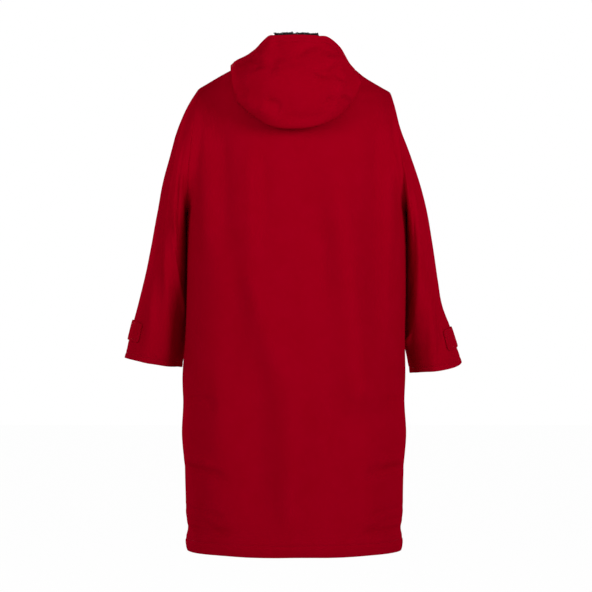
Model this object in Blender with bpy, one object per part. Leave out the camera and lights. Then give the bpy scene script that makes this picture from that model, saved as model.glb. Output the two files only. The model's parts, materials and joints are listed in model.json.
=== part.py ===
"""A child's long changing robe with a hood: zipped up, filled out as if worn, hood down.

Metres, +Z up. The wearer would face -Y, so the back is +Y and the wearer's left is +X.
The origin is between the shoulders at the base of the neck. Every cloth wall is made
from one outer surface: its points, and the same points moved in by the wall, cut into
panels that stay a seam's gap apart.
"""
import math

import bmesh
import bpy
import numpy as np
from mathutils import Matrix, Vector

MM = 0.001

# Walls and gaps
WALL = 3.0 * MM                 # shell and pile lining together
HOOD_WALL = 2.0 * MM            # hood shell alone
LINING_WALL = 3.0 * MM          # pile inside the hood
LINING_RISE = 3.5 * MM          # pile standing past the face edge
RISE_Y = (0.085, 0.115)         # the rise fades out from the back edge to the sides
LINING_INSET = 1.5 * MM         # from the neck seam and the front edges
LINING_GAP = 1.2 * MM           # between the hood's shell and its pile
SEAM_GAP = 0.3 * MM

# Heights
UNDERARM_Z = -0.262
COLLAR_FRONT_Z = -0.042

# Neck seam: an oval, lower at the front
NECK_HALF_WIDTH = 0.078
NECK_BACK = 0.055
NECK_FRONT = 0.075
NECK_SIDE_Z = 0.012
NECK_BACK_Z = 0.004

# Shoulders and armholes
TIP_X = {1: 0.1765, -1: -0.1775}
TIP_Z = {1: -0.031, -1: -0.037}
TIP_Y = -0.005
SHOULDER_BOW = 0.006
ARMHOLE_HALF_DEPTH = 0.080
ARMHOLE_REACH = (2.5, 9.0)      # how fast the armhole's draw fades: at the tip, the underarm
YOKE_ROUND = {1: 2.4, -1: 1.9}  # how square the yoke's profile is: back, front

# Grid: cells along each stretch of the outer surface
SHOULDER_CELLS = 4
NECK_CELLS = 7
QUARTER_CELLS = SHOULDER_CELLS + NECK_CELLS
YOKE_CELLS = 10
SLEEVE_CELLS = 11
HOOD_CELLS = 10
GUSSET_CELLS = 1                # each side of the hood's middle

# Zip
ZIP_SLOT = 9.0 * MM             # between the two front edges
CHAIN_WIDTH = 6.4 * MM
TAPE_GAP = 0.3 * MM
TAPE_WIDTH = 15.0 * MM
TAPE_WALL = 1.0 * MM
TAPE_SINK = 3.0 * MM            # the far edge follows the front's curve
CHAIN_RISE = 1.6 * MM           # the teeth stand out of the tape into the slot
ZIP_LOW_Z = -0.862
SLIDER_LENGTH = 13.0 * MM
CHAIN_END_GAP = 1.0 * MM

# Body tube, hem to underarm: half width and half depths, with soft ripples at the sides
BODY_COLUMNS = "z half_width back_depth front_depth centre_x square"
BODY_ROWS = [
    (-0.880, 0.1990, 0.120, 0.118, 0.000, 2.00),
    (-0.863, 0.2005, 0.121, 0.119, 0.000, 2.00),
    (-0.844, 0.1972, 0.120, 0.118, 0.000, 2.00),
    (-0.821, 0.1998, 0.121, 0.119, 0.000, 2.02),
    (-0.777, 0.2003, 0.122, 0.120, 0.000, 2.05),
    (-0.730, 0.2015, 0.124, 0.122, 0.000, 2.07),
    (-0.668, 0.2063, 0.125, 0.122, 0.000, 2.10),
    (-0.607, 0.2037, 0.125, 0.122, 0.000, 2.12),
    (-0.562, 0.2058, 0.125, 0.122, 0.000, 2.15),
    (-0.500, 0.2030, 0.125, 0.121, -0.002, 2.18),
    (-0.420, 0.2022, 0.125, 0.121, -0.004, 2.20),
    (-0.340, 0.2022, 0.124, 0.120, -0.005, 2.25),
    (-0.262, 0.2020, 0.122, 0.119, -0.005, 2.30),
]

# Sleeves, armhole to cuff: the outer and the inner line, the middle's y and the half depth
SLEEVE_COLUMNS = "reach outer_x outer_z inner_x inner_z middle_y half_depth"
LEFT_SLEEVE_ROWS = [
    (0.00, 0.1765, -0.031, 0.1970, -0.262, -0.0025, 0.080),
    (0.08, 0.1940, -0.060, 0.1995, -0.268, -0.004, 0.0795),
    (0.17, 0.2100, -0.101, 0.2000, -0.278, -0.007, 0.078),
    (0.27, 0.2255, -0.150, 0.2000, -0.292, -0.012, 0.075),
    (0.38, 0.2425, -0.205, 0.1998, -0.312, -0.018, 0.072),
    (0.48, 0.2545, -0.260, 0.1997, -0.340, -0.024, 0.070),
    (0.58, 0.2650, -0.315, 0.1998, -0.375, -0.030, 0.068),
    (0.68, 0.2765, -0.370, 0.2002, -0.412, -0.036, 0.066),
    (0.77, 0.2895, -0.420, 0.2010, -0.450, -0.041, 0.063),
    (0.85, 0.3010, -0.462, 0.2027, -0.486, -0.045, 0.059),
    (0.93, 0.3105, -0.498, 0.2058, -0.520, -0.048, 0.055),
    (1.00, 0.3195, -0.529, 0.2095, -0.548, -0.050, 0.053),
]
RIGHT_SLEEVE_ROWS = [
    (0.00, -0.1775, -0.037, -0.2070, -0.262, -0.0025, 0.080),
    (0.08, -0.1860, -0.065, -0.2095, -0.268, -0.004, 0.0795),
    (0.17, -0.1970, -0.103, -0.2100, -0.278, -0.007, 0.078),
    (0.27, -0.2140, -0.146, -0.2100, -0.292, -0.012, 0.075),
    (0.38, -0.2340, -0.206, -0.2098, -0.313, -0.018, 0.072),
    (0.48, -0.2490, -0.265, -0.2096, -0.343, -0.024, 0.070),
    (0.58, -0.2600, -0.324, -0.2093, -0.380, -0.030, 0.068),
    (0.68, -0.2695, -0.384, -0.2088, -0.420, -0.036, 0.066),
    (0.77, -0.2780, -0.431, -0.2083, -0.460, -0.041, 0.063),
    (0.85, -0.2920, -0.470, -0.2085, -0.497, -0.045, 0.059),
    (0.93, -0.3040, -0.506, -0.2120, -0.531, -0.048, 0.055),
    (1.00, -0.3150, -0.537, -0.2160, -0.559, -0.050, 0.053),
]

# Hood lying down, round the neck from the centre back (0) to the centre front (180):
# how far out and how high its turned-over top, inner side, bag bottom, outer side and
# face edge lie
HOOD_COLUMNS = "turn over_r over_z inner_r inner_z bottom_r bottom_z outer_r outer_z edge_r edge_z"
HOOD_ROWS = [
    (0, 0.094, 0.006, 0.120, -0.055, 0.147, -0.122, 0.174, -0.048, 0.152, 0.043),
    (15, 0.095, 0.007, 0.122, -0.052, 0.150, -0.117, 0.176, -0.046, 0.153, 0.041),
    (30, 0.097, 0.009, 0.124, -0.040, 0.154, -0.092, 0.172, -0.036, 0.151, 0.030),
    (45, 0.096, 0.016, 0.116, -0.009, 0.138, -0.041, 0.155, -0.018, 0.149, 0.020),
    (60, 0.093, 0.022, 0.106, 0.012, 0.120, 0.000, 0.133, -0.001, 0.137, 0.010),
    (90, 0.086, 0.024, 0.093, 0.024, 0.100, 0.022, 0.107, 0.020, 0.113, 0.022),
    (120, 0.086, 0.018, 0.089, 0.023, 0.092, 0.027, 0.095, 0.031, 0.098, 0.036),
    (150, 0.085, -0.008, 0.088, -0.001, 0.091, 0.005, 0.095, 0.012, 0.099, 0.019),
    (180, 0.082, -0.022, 0.085, -0.015, 0.088, -0.008, 0.092, 0.000, 0.097, 0.007),
]
STAND_RISE = 0.012              # the hood's short stand above the neck seam
STAND_LEAN = 0.005
RIGHT_CORNER_TURN = 58.0        # the hood hangs lower over the right shoulder
RIGHT_CORNER_SPREAD = 26.0
RIGHT_CORNER_DROP = 0.005
RIGHT_CORNER_REACH = 0.006
EDGE_SHIFT = -0.008             # the face edge lies a little to the right

# Cuff tabs: where they sit on the sleeve
TAB_TURNS = (42.0, -78.0)       # from behind the outer line round to the front
TAB_REACH = {1: (0.845, 0.925), -1: (0.855, 0.935)}
TAB_WALL = 2.5 * MM
TAB_SEAT = 0.9 * MM             # off the sleeve's curve, so flat cells of both stay apart
TAB_CELLS = (8, 2)

# Largest folds of the body, as soft ridges and troughs from a top end to a low end
FOLD_COLUMNS = "side x_top z_top x_low z_low half_width height"
FOLD_ROWS = [
    (1, -0.153, -0.14, -0.148, -0.46, 0.024, -0.0050),
    (1, -0.118, -0.20, -0.138, -0.60, 0.026, 0.0045),
    (1, -0.070, -0.28, -0.060, -0.56, 0.030, -0.0040),
    (1, 0.070, -0.20, 0.078, -0.52, 0.030, 0.0035),
    (1, 0.115, -0.34, 0.098, -0.78, 0.034, -0.0040),
    (1, 0.012, -0.42, 0.000, -0.80, 0.036, 0.0035),
    (-1, 0.090, -0.18, 0.110, -0.58, 0.030, -0.0040),
    (-1, -0.085, -0.24, -0.100, -0.66, 0.032, -0.0040),
    (-1, 0.135, -0.40, 0.120, -0.80, 0.030, 0.0035),
]
ZIP_FLAT = 0.035                # folds fade out this near the zip

RED = (0.300, 0.0035, 0.0110, 1.0)
RED_HOOD = (0.310, 0.0035, 0.0130, 1.0)
CHARCOAL = (0.012, 0.011, 0.013, 1.0)
ZIP_BLACK = (0.016, 0.016, 0.018, 1.0)
STEEL = (0.30, 0.30, 0.31, 1.0)


def table(columns, rows):
    """Rows of numbers as one array for each named column."""
    names = columns.split()
    return {name: np.array([row[i] for row in rows], float) for i, name in enumerate(names)}


BODY = table(BODY_COLUMNS, BODY_ROWS)
SLEEVES = {1: table(SLEEVE_COLUMNS, LEFT_SLEEVE_ROWS), -1: table(SLEEVE_COLUMNS, RIGHT_SLEEVE_ROWS)}
HOOD = table(HOOD_COLUMNS, HOOD_ROWS)
FOLDS = table(FOLD_COLUMNS, FOLD_ROWS)


def along(xs, ys, x):
    """Smooth curve through a table's rows, read at x."""
    slopes = np.gradient(ys, xs)
    i = int(np.clip(np.searchsorted(xs, x) - 1, 0, len(xs) - 2))
    step = xs[i + 1] - xs[i]
    t = (x - xs[i]) / step
    start = (1 + 2 * t) * (1 - t) ** 2 * ys[i] + t * t * (3 - 2 * t) * ys[i + 1]
    return float(start + step * (t * (1 - t) ** 2 * slopes[i] - t * t * (1 - t) * slopes[i + 1]))


def smooth_step(value, low, high):
    """0 below low, 1 above high, smooth between."""
    t = min(max((value - low) / (high - low), 0.0), 1.0)
    return t * t * (3 - 2 * t)


def rounded(value, square):
    """A sine or cosine bent towards a squarer oval."""
    return math.copysign(abs(value) ** (2 / square), value)


def fold_height(x, z, side):
    """How far the folds move the body's cloth out at one place."""
    height = 0.0
    for i in range(len(FOLDS["x_top"])):
        if FOLDS["side"][i] != side:
            continue
        drop = FOLDS["z_top"][i] - FOLDS["z_low"][i]
        t = (FOLDS["z_top"][i] - z) / drop
        middle = FOLDS["x_top"][i] + (FOLDS["x_low"][i] - FOLDS["x_top"][i]) * t
        fade = smooth_step(t, -0.25, 0.25) * smooth_step(-t, -1.25, -0.75)
        height += FOLDS["height"][i] * fade * math.exp(-((x - middle) / FOLDS["half_width"][i]) ** 2)
    if side < 0:
        height *= smooth_step(abs(x), ZIP_FLAT * 0.4, ZIP_FLAT * 1.6)
    return height


def body_point(turn, z):
    """The body tube at one height: turn 0 is the centre back, 90 the wearer's left side."""
    angle = math.radians(turn)
    square = along(BODY["z"], BODY["square"], z)
    back = math.cos(angle) > 0
    depth = along(BODY["z"], BODY["back_depth" if back else "front_depth"], z)
    x = along(BODY["z"], BODY["half_width"], z) * rounded(math.sin(angle), square)
    y = depth * rounded(math.cos(angle), square)
    x += along(BODY["z"], BODY["centre_x"], z)
    push = fold_height(x, z, 1 if back else -1) * abs(math.cos(angle)) ** 0.7
    return Vector((x, y + math.copysign(push, y), z))


def neck_point(turn):
    """The neck seam, turned as the body is."""
    angle = math.radians(turn)
    across = math.sin(angle)
    if math.cos(angle) > 0:
        y = NECK_BACK * math.cos(angle)
        z = NECK_BACK_Z + (NECK_SIDE_Z - NECK_BACK_Z) * across ** 2
    else:
        y = NECK_FRONT * math.cos(angle)
        z = COLLAR_FRONT_Z + (NECK_SIDE_Z - COLLAR_FRONT_Z) * across ** 2
    return Vector((NECK_HALF_WIDTH * across, y, z))


def shoulder_point(side, t):
    """The shoulder line from its tip (0) to the neck (1)."""
    tip = Vector((TIP_X[side], TIP_Y, TIP_Z[side]))
    neck = neck_point(90 * side)
    point = tip.lerp(neck, t)
    point.z += SHOULDER_BOW * 4 * t * (1 - t)
    return point


def armhole_point(side, facing, turn):
    """The armhole seam: turn 0 is the shoulder tip, 180 the underarm."""
    angle = math.radians(turn)
    tip = Vector((TIP_X[side], TIP_Y, TIP_Z[side]))
    low = body_point(90 * side, UNDERARM_Z)
    point = (tip + low) / 2 + (tip - low) / 2 * math.cos(angle)
    point.y += facing * ARMHOLE_HALF_DEPTH * math.sin(angle)
    return point


def plain_yoke(side, facing, across, up):
    """The yoke before it is drawn out to the armhole."""
    share = SHOULDER_CELLS / QUARTER_CELLS
    turn = 90 * (1 - across)
    low = body_point((turn if facing > 0 else 180 - turn) * side, UNDERARM_Z)
    if across < share:
        top = shoulder_point(side, across / share)
    else:
        neck_turn = 90 * (1 - (across - share) / (1 - share))
        top = neck_point((neck_turn if facing > 0 else 180 - neck_turn) * side)
    rise = (1 - math.cos(math.pi * up)) / 2
    square = YOKE_ROUND[facing]
    inward = 1 - (1 - rise ** square) ** (1 / square)
    point = low.lerp(top, inward)
    point.z = low.z + (top.z - low.z) * rise
    return point


def yoke_point(side, facing, across, up):
    """Front or back above the underarm: across 0 is the armhole, 1 the middle."""
    point = plain_yoke(side, facing, across, up)
    edge = armhole_point(side, facing, 180 * (1 - up))
    reach = ARMHOLE_REACH[0] + (ARMHOLE_REACH[1] - ARMHOLE_REACH[0]) * (1 - up) ** 5
    return point + (edge - plain_yoke(side, facing, 0.0, up)) * (1 - across) ** reach


def sleeve_point(side, turn, reach):
    """A sleeve: turn 0 is the outer line, 90 the back, 180 the inner line."""
    if reach == 0.0:
        return armhole_point(side, 1 if turn <= 180 else -1, turn if turn <= 180 else 360 - turn)
    row = {name: along(SLEEVES[side]["reach"], SLEEVES[side][name], reach)
           for name in SLEEVES[side] if name != "reach"}
    outer = Vector((row["outer_x"], row["middle_y"], row["outer_z"]))
    inner = Vector((row["inner_x"], row["middle_y"], row["inner_z"]))
    angle = math.radians(turn)
    point = (outer + inner) / 2 + (outer - inner) / 2 * math.cos(angle)
    point.y += row["half_depth"] * math.sin(angle)
    return point


def hood_profile(turn):
    """The hood's section at one turn round the neck, from the seam to the face edge."""
    place = abs(turn)
    lean = Vector((math.sin(math.radians(turn)), math.cos(math.radians(turn)), 0.0))
    seam = neck_point(turn)
    points = [seam, seam + lean * STAND_LEAN + Vector((0, 0, STAND_RISE))]
    corner = 0.0
    if turn < 0:
        corner = math.exp(-((place - RIGHT_CORNER_TURN) / RIGHT_CORNER_SPREAD) ** 2)
    for name, share in (("over", 0.0), ("inner", 0.3), ("bottom", 0.6), ("outer", 1.0), ("edge", 0.8)):
        r = along(HOOD["turn"], HOOD[name + "_r"], place) + RIGHT_CORNER_REACH * corner * share
        z = along(HOOD["turn"], HOOD[name + "_z"], place) - RIGHT_CORNER_DROP * corner * share
        points.append(lean * r + Vector((0, 0, z)))
    shift = EDGE_SHIFT * max(math.cos(math.radians(turn)), 0.0)
    points[-1].x += shift
    points[-2].x += shift * 0.4
    return points


def hood_column(turn, cells):
    """Evenly spaced points along the hood's section."""
    knots = hood_profile(turn)
    steps = [0.0]
    for first, second in zip(knots, knots[1:]):
        steps.append(steps[-1] + (second - first).length)
    steps = np.array(steps)
    axes = [np.array([knot[axis] for knot in knots]) for axis in range(3)]
    fine = np.linspace(0, steps[-1], cells + 1)
    return [Vector([along(steps, axis, place) for axis in axes]) for place in fine]


def close_slot(points, side):
    """The centre front edge stands off the middle by half the zip's slot."""
    for point in points:
        point.x = side * ZIP_SLOT / 2


def body_grid(side, facing):
    """A quarter of the body tube, columns from the side seam to the middle, rows upwards."""
    columns = []
    for i in range(QUARTER_CELLS + 1):
        turn = 90 * (1 - i / QUARTER_CELLS)
        place = (turn if facing > 0 else 180 - turn) * side
        columns.append([body_point(place, z) for z in BODY["z"]])
    if facing < 0:
        close_slot(columns[-1], side)
    return columns


def yoke_grid(side, facing):
    """A quarter of the yoke, columns from the armhole to the middle, rows upwards."""
    columns = []
    for i in range(QUARTER_CELLS + 1):
        across = i / QUARTER_CELLS
        columns.append([yoke_point(side, facing, across, j / YOKE_CELLS) for j in range(YOKE_CELLS + 1)])
    if facing < 0:
        close_slot(columns[-1], side)
    return columns


def sleeve_grid(side):
    """A whole sleeve, columns round it from the outer line by the back, rows to the cuff."""
    turns = [360 * i / (2 * YOKE_CELLS) for i in range(2 * YOKE_CELLS + 1)]
    rows = [j / SLEEVE_CELLS for j in range(SLEEVE_CELLS + 1)]
    return [[sleeve_point(side, turn % 360, reach) for reach in rows] for turn in turns]


def hood_grid(first, last):
    """Part of the hood, columns from one neck cell to another, rows from seam to edge."""
    columns = []
    for i in range(first, last + 1):
        column = hood_column(90 * i / NECK_CELLS, HOOD_CELLS)
        if abs(i) == 2 * NECK_CELLS:
            close_slot(column, 1 if i > 0 else -1)
        columns.append(column)
    return columns


class OuterSurface:
    """The robe's whole outer surface, with each face marked by its panel."""

    def __init__(self):
        self.mesh = bmesh.new()
        self.mark = self.mesh.faces.layers.int.new("panel")
        self.rim = self.mesh.verts.layers.int.new("rim")
        self.panels = []

    def add(self, panel, columns, flip, rim=False):
        if panel not in self.panels:
            self.panels.append(panel)
        number = self.panels.index(panel)
        verts = [[self.mesh.verts.new(point) for point in column] for column in columns]
        for column in verts:
            column[-1][self.rim] = int(rim)
        for left, right in zip(verts, verts[1:]):
            for j in range(len(left) - 1):
                corners = [left[j], right[j], right[j + 1], left[j + 1]]
                face = self.mesh.faces.new(corners[::-1] if flip else corners)
                face[self.mark] = number

    def weld(self):
        """Join the panels' points, and set each cell's diagonal once for all its layers."""
        bmesh.ops.remove_doubles(self.mesh, verts=self.mesh.verts, dist=0.02 * MM)
        bmesh.ops.triangulate(self.mesh, faces=self.mesh.faces, quad_method="SHORT_EDGE")
        self.mesh.verts.index_update()
        self.mesh.normal_update()

    def panel_faces(self, names):
        numbers = [self.panels.index(name) for name in names]
        return [face for face in self.mesh.faces if face[self.mark] in numbers]


def edge_insets(faces, gap, rim, rise):
    """How each edge point moves: into its panel by gap, or past the marked rim by rise."""
    count = {}
    for face in faces:
        for edge in face.edges:
            count.setdefault(edge, []).append(face)
    sides = {}
    for edge, owners in count.items():
        if len(owners) > 1:
            continue
        inward = owners[0].normal.cross(edge.verts[1].co - edge.verts[0].co).normalized()
        if inward.dot(owners[0].calc_center_median() - edge.verts[0].co) < 0:
            inward.negate()
        reach = 0.0 if all(vert[rim] for vert in edge.verts) else gap
        for vert in edge.verts:
            sides.setdefault(vert, []).append((inward, reach))
    moves = {}
    for vert, pulls in sides.items():
        total = sum((inward * reach for inward, reach in pulls), Vector((0, 0, 0)))
        moves[vert] = total / max(1 + pulls[0][0].dot(pulls[-1][0]), 0.4)
        if vert[rim]:
            below = [edge.other_vert(vert).co for edge in vert.link_edges if not edge.other_vert(vert)[rim]]
            nearest = min(below, key=lambda place: (place - vert.co).length)
            onward = vert.co - nearest
            onward -= vert.normal * onward.dot(vert.normal)
            moves[vert] += onward.normalized() * rise * smooth_step(vert.co.y, *RISE_Y)
    edges = [edge for edge, owners in count.items() if len(owners) == 1]
    return moves, edges


def add_object(name, mesh, color, roughness, metallic=0.0):
    """Put a finished bmesh into the scene as one named object with its own material."""
    data = bpy.data.meshes.new(name)
    mesh.to_mesh(data)
    mesh.free()
    material = bpy.data.materials.new(name)
    material.use_nodes = True
    shader = material.node_tree.nodes["Principled BSDF"]
    shader.inputs["Base Color"].default_value = color
    shader.inputs["Roughness"].default_value = roughness
    shader.inputs["Metallic"].default_value = metallic
    material.diffuse_color = color
    data.materials.append(material)
    part = bpy.data.objects.new(name, data)
    bpy.context.scene.collection.objects.link(part)
    return part


def panel_wall(surface, names, outer, inner, gap, rise):
    """A closed wall from some panels' faces, between two depths inside the surface."""
    faces = surface.panel_faces(names)
    moves, edges = edge_insets(faces, gap, surface.rim, rise)
    wall = bmesh.new()
    layers = []
    for depth in (outer, inner):
        layer = {}
        for face in faces:
            for vert in face.verts:
                if vert not in layer:
                    move = moves.get(vert, Vector((0, 0, 0)))
                    layer[vert] = wall.verts.new(vert.co + move - vert.normal * depth)
        layers.append(layer)
    for face in faces:
        wall.faces.new([layers[0][vert] for vert in face.verts])
        wall.faces.new([layers[1][vert] for vert in reversed(face.verts)])
    owners = {edge: face for face in faces for edge in face.edges}
    for edge in edges:
        loop = next(loop for loop in owners[edge].loops if loop.edge == edge)
        start, end = loop.vert, loop.link_loop_next.vert
        outer_start, outer_end, inner_start, inner_end = (
            layers[0][start], layers[0][end], layers[1][start], layers[1][end])
        if start.index < end.index:
            wall.faces.new([outer_end, outer_start, inner_end])
            wall.faces.new([outer_start, inner_start, inner_end])
        else:
            wall.faces.new([outer_end, outer_start, inner_start])
            wall.faces.new([outer_end, inner_start, inner_end])
    return wall


def strip_wall(columns, outward, low, high):
    """A closed wall on a grid of points moved out by low and by high."""
    wall = bmesh.new()
    layers = []
    for height in (low, high):
        layers.append([[wall.verts.new(point + normal * height) for point, normal in zip(column, normals)]
                       for column, normals in zip(columns, outward)])
    last = len(columns) - 1
    rows = len(columns[0]) - 1
    for i in range(last):
        for j in range(rows):
            for layer in layers:
                wall.faces.new([layer[i][j], layer[i + 1][j], layer[i + 1][j + 1], layer[i][j + 1]])
    for i in range(last):
        for j in (0, rows):
            wall.faces.new([layers[0][i][j], layers[0][i + 1][j], layers[1][i + 1][j], layers[1][i][j]])
    for j in range(rows):
        for i in (0, last):
            wall.faces.new([layers[0][i][j], layers[0][i][j + 1], layers[1][i][j + 1], layers[1][i][j]])
    bmesh.ops.recalc_face_normals(wall, faces=wall.faces)
    return wall


def make_surface():
    """The whole outer surface, cut into the panels that are sewn together."""
    surface = OuterSurface()
    front = {1: "front_left", -1: "front_right"}
    for side in (1, -1):
        for facing in (1, -1):
            panel = "back" if facing > 0 else front[side]
            flip = side * facing > 0
            surface.add(panel, body_grid(side, facing), not flip)
            surface.add(panel, yoke_grid(side, facing), not flip)
    surface.add("sleeve_left", sleeve_grid(1), True)
    surface.add("sleeve_right", sleeve_grid(-1), False)
    end = 2 * NECK_CELLS
    surface.add("hood_right", hood_grid(-end, -GUSSET_CELLS), True, rim=True)
    surface.add("hood_centre", hood_grid(-GUSSET_CELLS, GUSSET_CELLS), True, rim=True)
    surface.add("hood_left", hood_grid(GUSSET_CELLS, end), True, rim=True)
    surface.weld()
    return surface


def make_lining(surface):
    """The pile inside the hood, one piece, standing just past the face edge."""
    near = HOOD_WALL + LINING_GAP
    names = [name for name in surface.panels if name.startswith("hood")]
    return panel_wall(surface, names, near, near + LINING_WALL, LINING_INSET, LINING_RISE)


def sleeve_normal(side, turn, reach):
    """The sleeve's outward direction."""
    step = 0.5
    round_it = sleeve_point(side, turn + step, reach) - sleeve_point(side, turn - step, reach)
    down_it = sleeve_point(side, turn, reach + 0.01) - sleeve_point(side, turn, reach - 0.01)
    normal = round_it.cross(down_it).normalized()
    middle = (sleeve_point(side, 0, reach) + sleeve_point(side, 180, reach)) / 2
    if normal.dot(sleeve_point(side, turn, reach) - middle) < 0:
        normal.negate()
    return normal


def make_cuff_tab(side):
    """A hook-and-loop tab round the outer side of the cuff."""
    around, up = TAB_CELLS
    turns = [TAB_TURNS[0] + (TAB_TURNS[1] - TAB_TURNS[0]) * i / around for i in range(around + 1)]
    low, high = TAB_REACH[side]
    rows = [low + (high - low) * j / up for j in range(up + 1)]
    points = [[sleeve_point(side, turn, reach) for reach in rows] for turn in turns]
    normals = [[sleeve_normal(side, turn, reach) for reach in rows] for turn in turns]
    return strip_wall(points, normals, TAB_SEAT, TAB_SEAT + TAB_WALL)


def centre_front():
    """The middle of the front, hem to neck, with its outward directions."""
    rows = [z for z in BODY["z"] if z > ZIP_LOW_Z][:-1]
    points = [body_point(180, z) for z in [ZIP_LOW_Z] + rows]
    points += [yoke_point(1, -1, 1.0, j / YOKE_CELLS) for j in range(YOKE_CELLS + 1)]
    for point in points:
        point.x = 0.0
    normals = []
    for i in range(len(points)):
        upward = points[min(i + 1, len(points) - 1)] - points[max(i - 1, 0)]
        normals.append(Vector((0, -upward.z, upward.y)).normalized())
    return points, normals


def make_tape(side, points, normals):
    """One zip tape, inside the front's edge, turned in a little as the front is."""
    near = CHAIN_WIDTH / 2 + TAPE_GAP
    columns = [[point + Vector((side * near, 0, 0)) for point in points],
               [point + Vector((side * (near + TAPE_WIDTH), 0, 0)) - normal * TAPE_SINK
                for point, normal in zip(points, normals)]]
    depth = WALL + SEAM_GAP
    return strip_wall(columns, [normals, normals], -depth - TAPE_WALL, -depth)


def run_of(points, normals, start, end):
    """The stretch of a line between two lengths measured along it."""
    steps = [0.0]
    for first, second in zip(points, points[1:]):
        steps.append(steps[-1] + (second - first).length)
    cuts = [start] + [step for step in steps if start < step < end] + [end]
    line = [Vector([np.interp(cut, steps, [p[axis] for p in points]) for axis in range(3)]) for cut in cuts]
    out = [Vector([np.interp(cut, steps, [n[axis] for n in normals]) for axis in range(3)]).normalized()
           for cut in cuts]
    return line, out, steps[-1]


def make_chain(points, normals):
    """Both rows of closed teeth as one plain strip."""
    columns = [[point + Vector((place, 0, 0)) for point in points]
               for place in (-CHAIN_WIDTH / 2, CHAIN_WIDTH / 2)]
    depth = WALL + SEAM_GAP
    return strip_wall(columns, [normals, normals], -depth - TAPE_WALL, -depth + CHAIN_RISE)


def box(mesh, low, high):
    """A plain block between two corners, in millimetres."""
    middle = [(a + b) / 2 * MM for a, b in zip(low, high)]
    size = [(b - a) * MM for a, b in zip(low, high)]
    place = Matrix.Translation(middle) @ Matrix.Diagonal((*size, 1.0))
    bmesh.ops.create_cube(mesh, size=1.0, matrix=place)


def plate(outline, low, high):
    """A flat plate in X and Z with an outline in millimetres, thick in Y."""
    mesh = bmesh.new()
    face = mesh.faces.new([mesh.verts.new((x * MM, low * MM, z * MM)) for x, z in outline])
    made = bmesh.ops.extrude_face_region(mesh, geom=[face])
    moved = [item for item in made["geom"] if isinstance(item, bmesh.types.BMVert)]
    bmesh.ops.translate(mesh, vec=(0, (high - low) * MM, 0), verts=moved)
    bmesh.ops.recalc_face_normals(mesh, faces=mesh.faces)
    return mesh


# Slider and pull in millimetres, seen from outside: X across, Z up the zip, -Y outwards
PIVOT_OUT = 4.1
SLIDER_STEM = (-3.0, 3.0, -3.9, 0.9)            # x, x, inward, outward
SLIDER_CAP = (-5.2, 5.2, 0.9, 2.3)
BRIDGE = (-1.0, 1.0, 4.2, 6.7)                  # x, x, half height, outward
BRIDGE_EYE = (2.3, 2.8, 5.4)                    # half height, nearest, furthest
PULL_HALF_WIDTH = 3.0
PULL_EYE = (1.7, 0.6, 7.0)                      # half width, nearest, furthest from the pivot
PULL_LENGTH = 24.0
PULL_HALF_THICK = 0.6
JOIN = 0.5                                      # pieces of one casting run this far into each other


def make_slider():
    """The slider's body in the slot, its front plate and the bridge that holds the pull."""
    half = SLIDER_LENGTH / MM / 2
    body = bmesh.new()
    box(body, (SLIDER_STEM[0], -SLIDER_STEM[3] - JOIN, -half), (SLIDER_STEM[1], -SLIDER_STEM[2], half))
    cap = bmesh.new()
    box(cap, (SLIDER_CAP[0], -SLIDER_CAP[3], -half), (SLIDER_CAP[1], -SLIDER_CAP[2], half))
    bridge = bmesh.new()
    box(bridge, (BRIDGE[0], -BRIDGE[3], -BRIDGE[2]), (BRIDGE[1], -SLIDER_CAP[3] + JOIN, BRIDGE[2]))
    eye = bmesh.new()
    box(eye, (BRIDGE[0] - JOIN, -BRIDGE_EYE[2], -BRIDGE_EYE[0]),
        (BRIDGE[1] + JOIN, -BRIDGE_EYE[1], BRIDGE_EYE[0]))
    return body, cap, bridge, eye


def make_pull():
    """The pull tab: a long plate with an eye whose top bar turns under the bridge."""
    w, eye_w = PULL_HALF_WIDTH, PULL_EYE[0]
    top, low = PULL_EYE[1], -PULL_LENGTH
    outline = [(-w, top), (w, top), (w, low + 2), (w - 1.4, low), (1.4 - w, low), (-w, low + 2)]
    mesh = plate(outline, -PULL_HALF_THICK, PULL_HALF_THICK)
    eye_top, eye_low = -PULL_EYE[1], -PULL_EYE[2]
    hole = plate([(-eye_w, eye_top), (eye_w, eye_top), (eye_w, eye_low), (-eye_w, eye_low)],
                 -3 * PULL_HALF_THICK, 3 * PULL_HALF_THICK)
    return mesh, hole


def guide(name, mesh, place):
    """A cutter or joiner that only shapes another object."""
    data = bpy.data.meshes.new(name)
    mesh.to_mesh(data)
    mesh.free()
    part = bpy.data.objects.new(name, data)
    part.matrix_world = place
    part.hide_render = True
    part.display_type = "WIRE"
    bpy.context.scene.collection.objects.link(part)
    return part


def combine(part, other, operation):
    """Join or cut an object with another by a Boolean."""
    step = part.modifiers.new(other.name, "BOOLEAN")
    step.operation = operation
    step.solver = "EXACT"
    step.object = other


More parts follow.
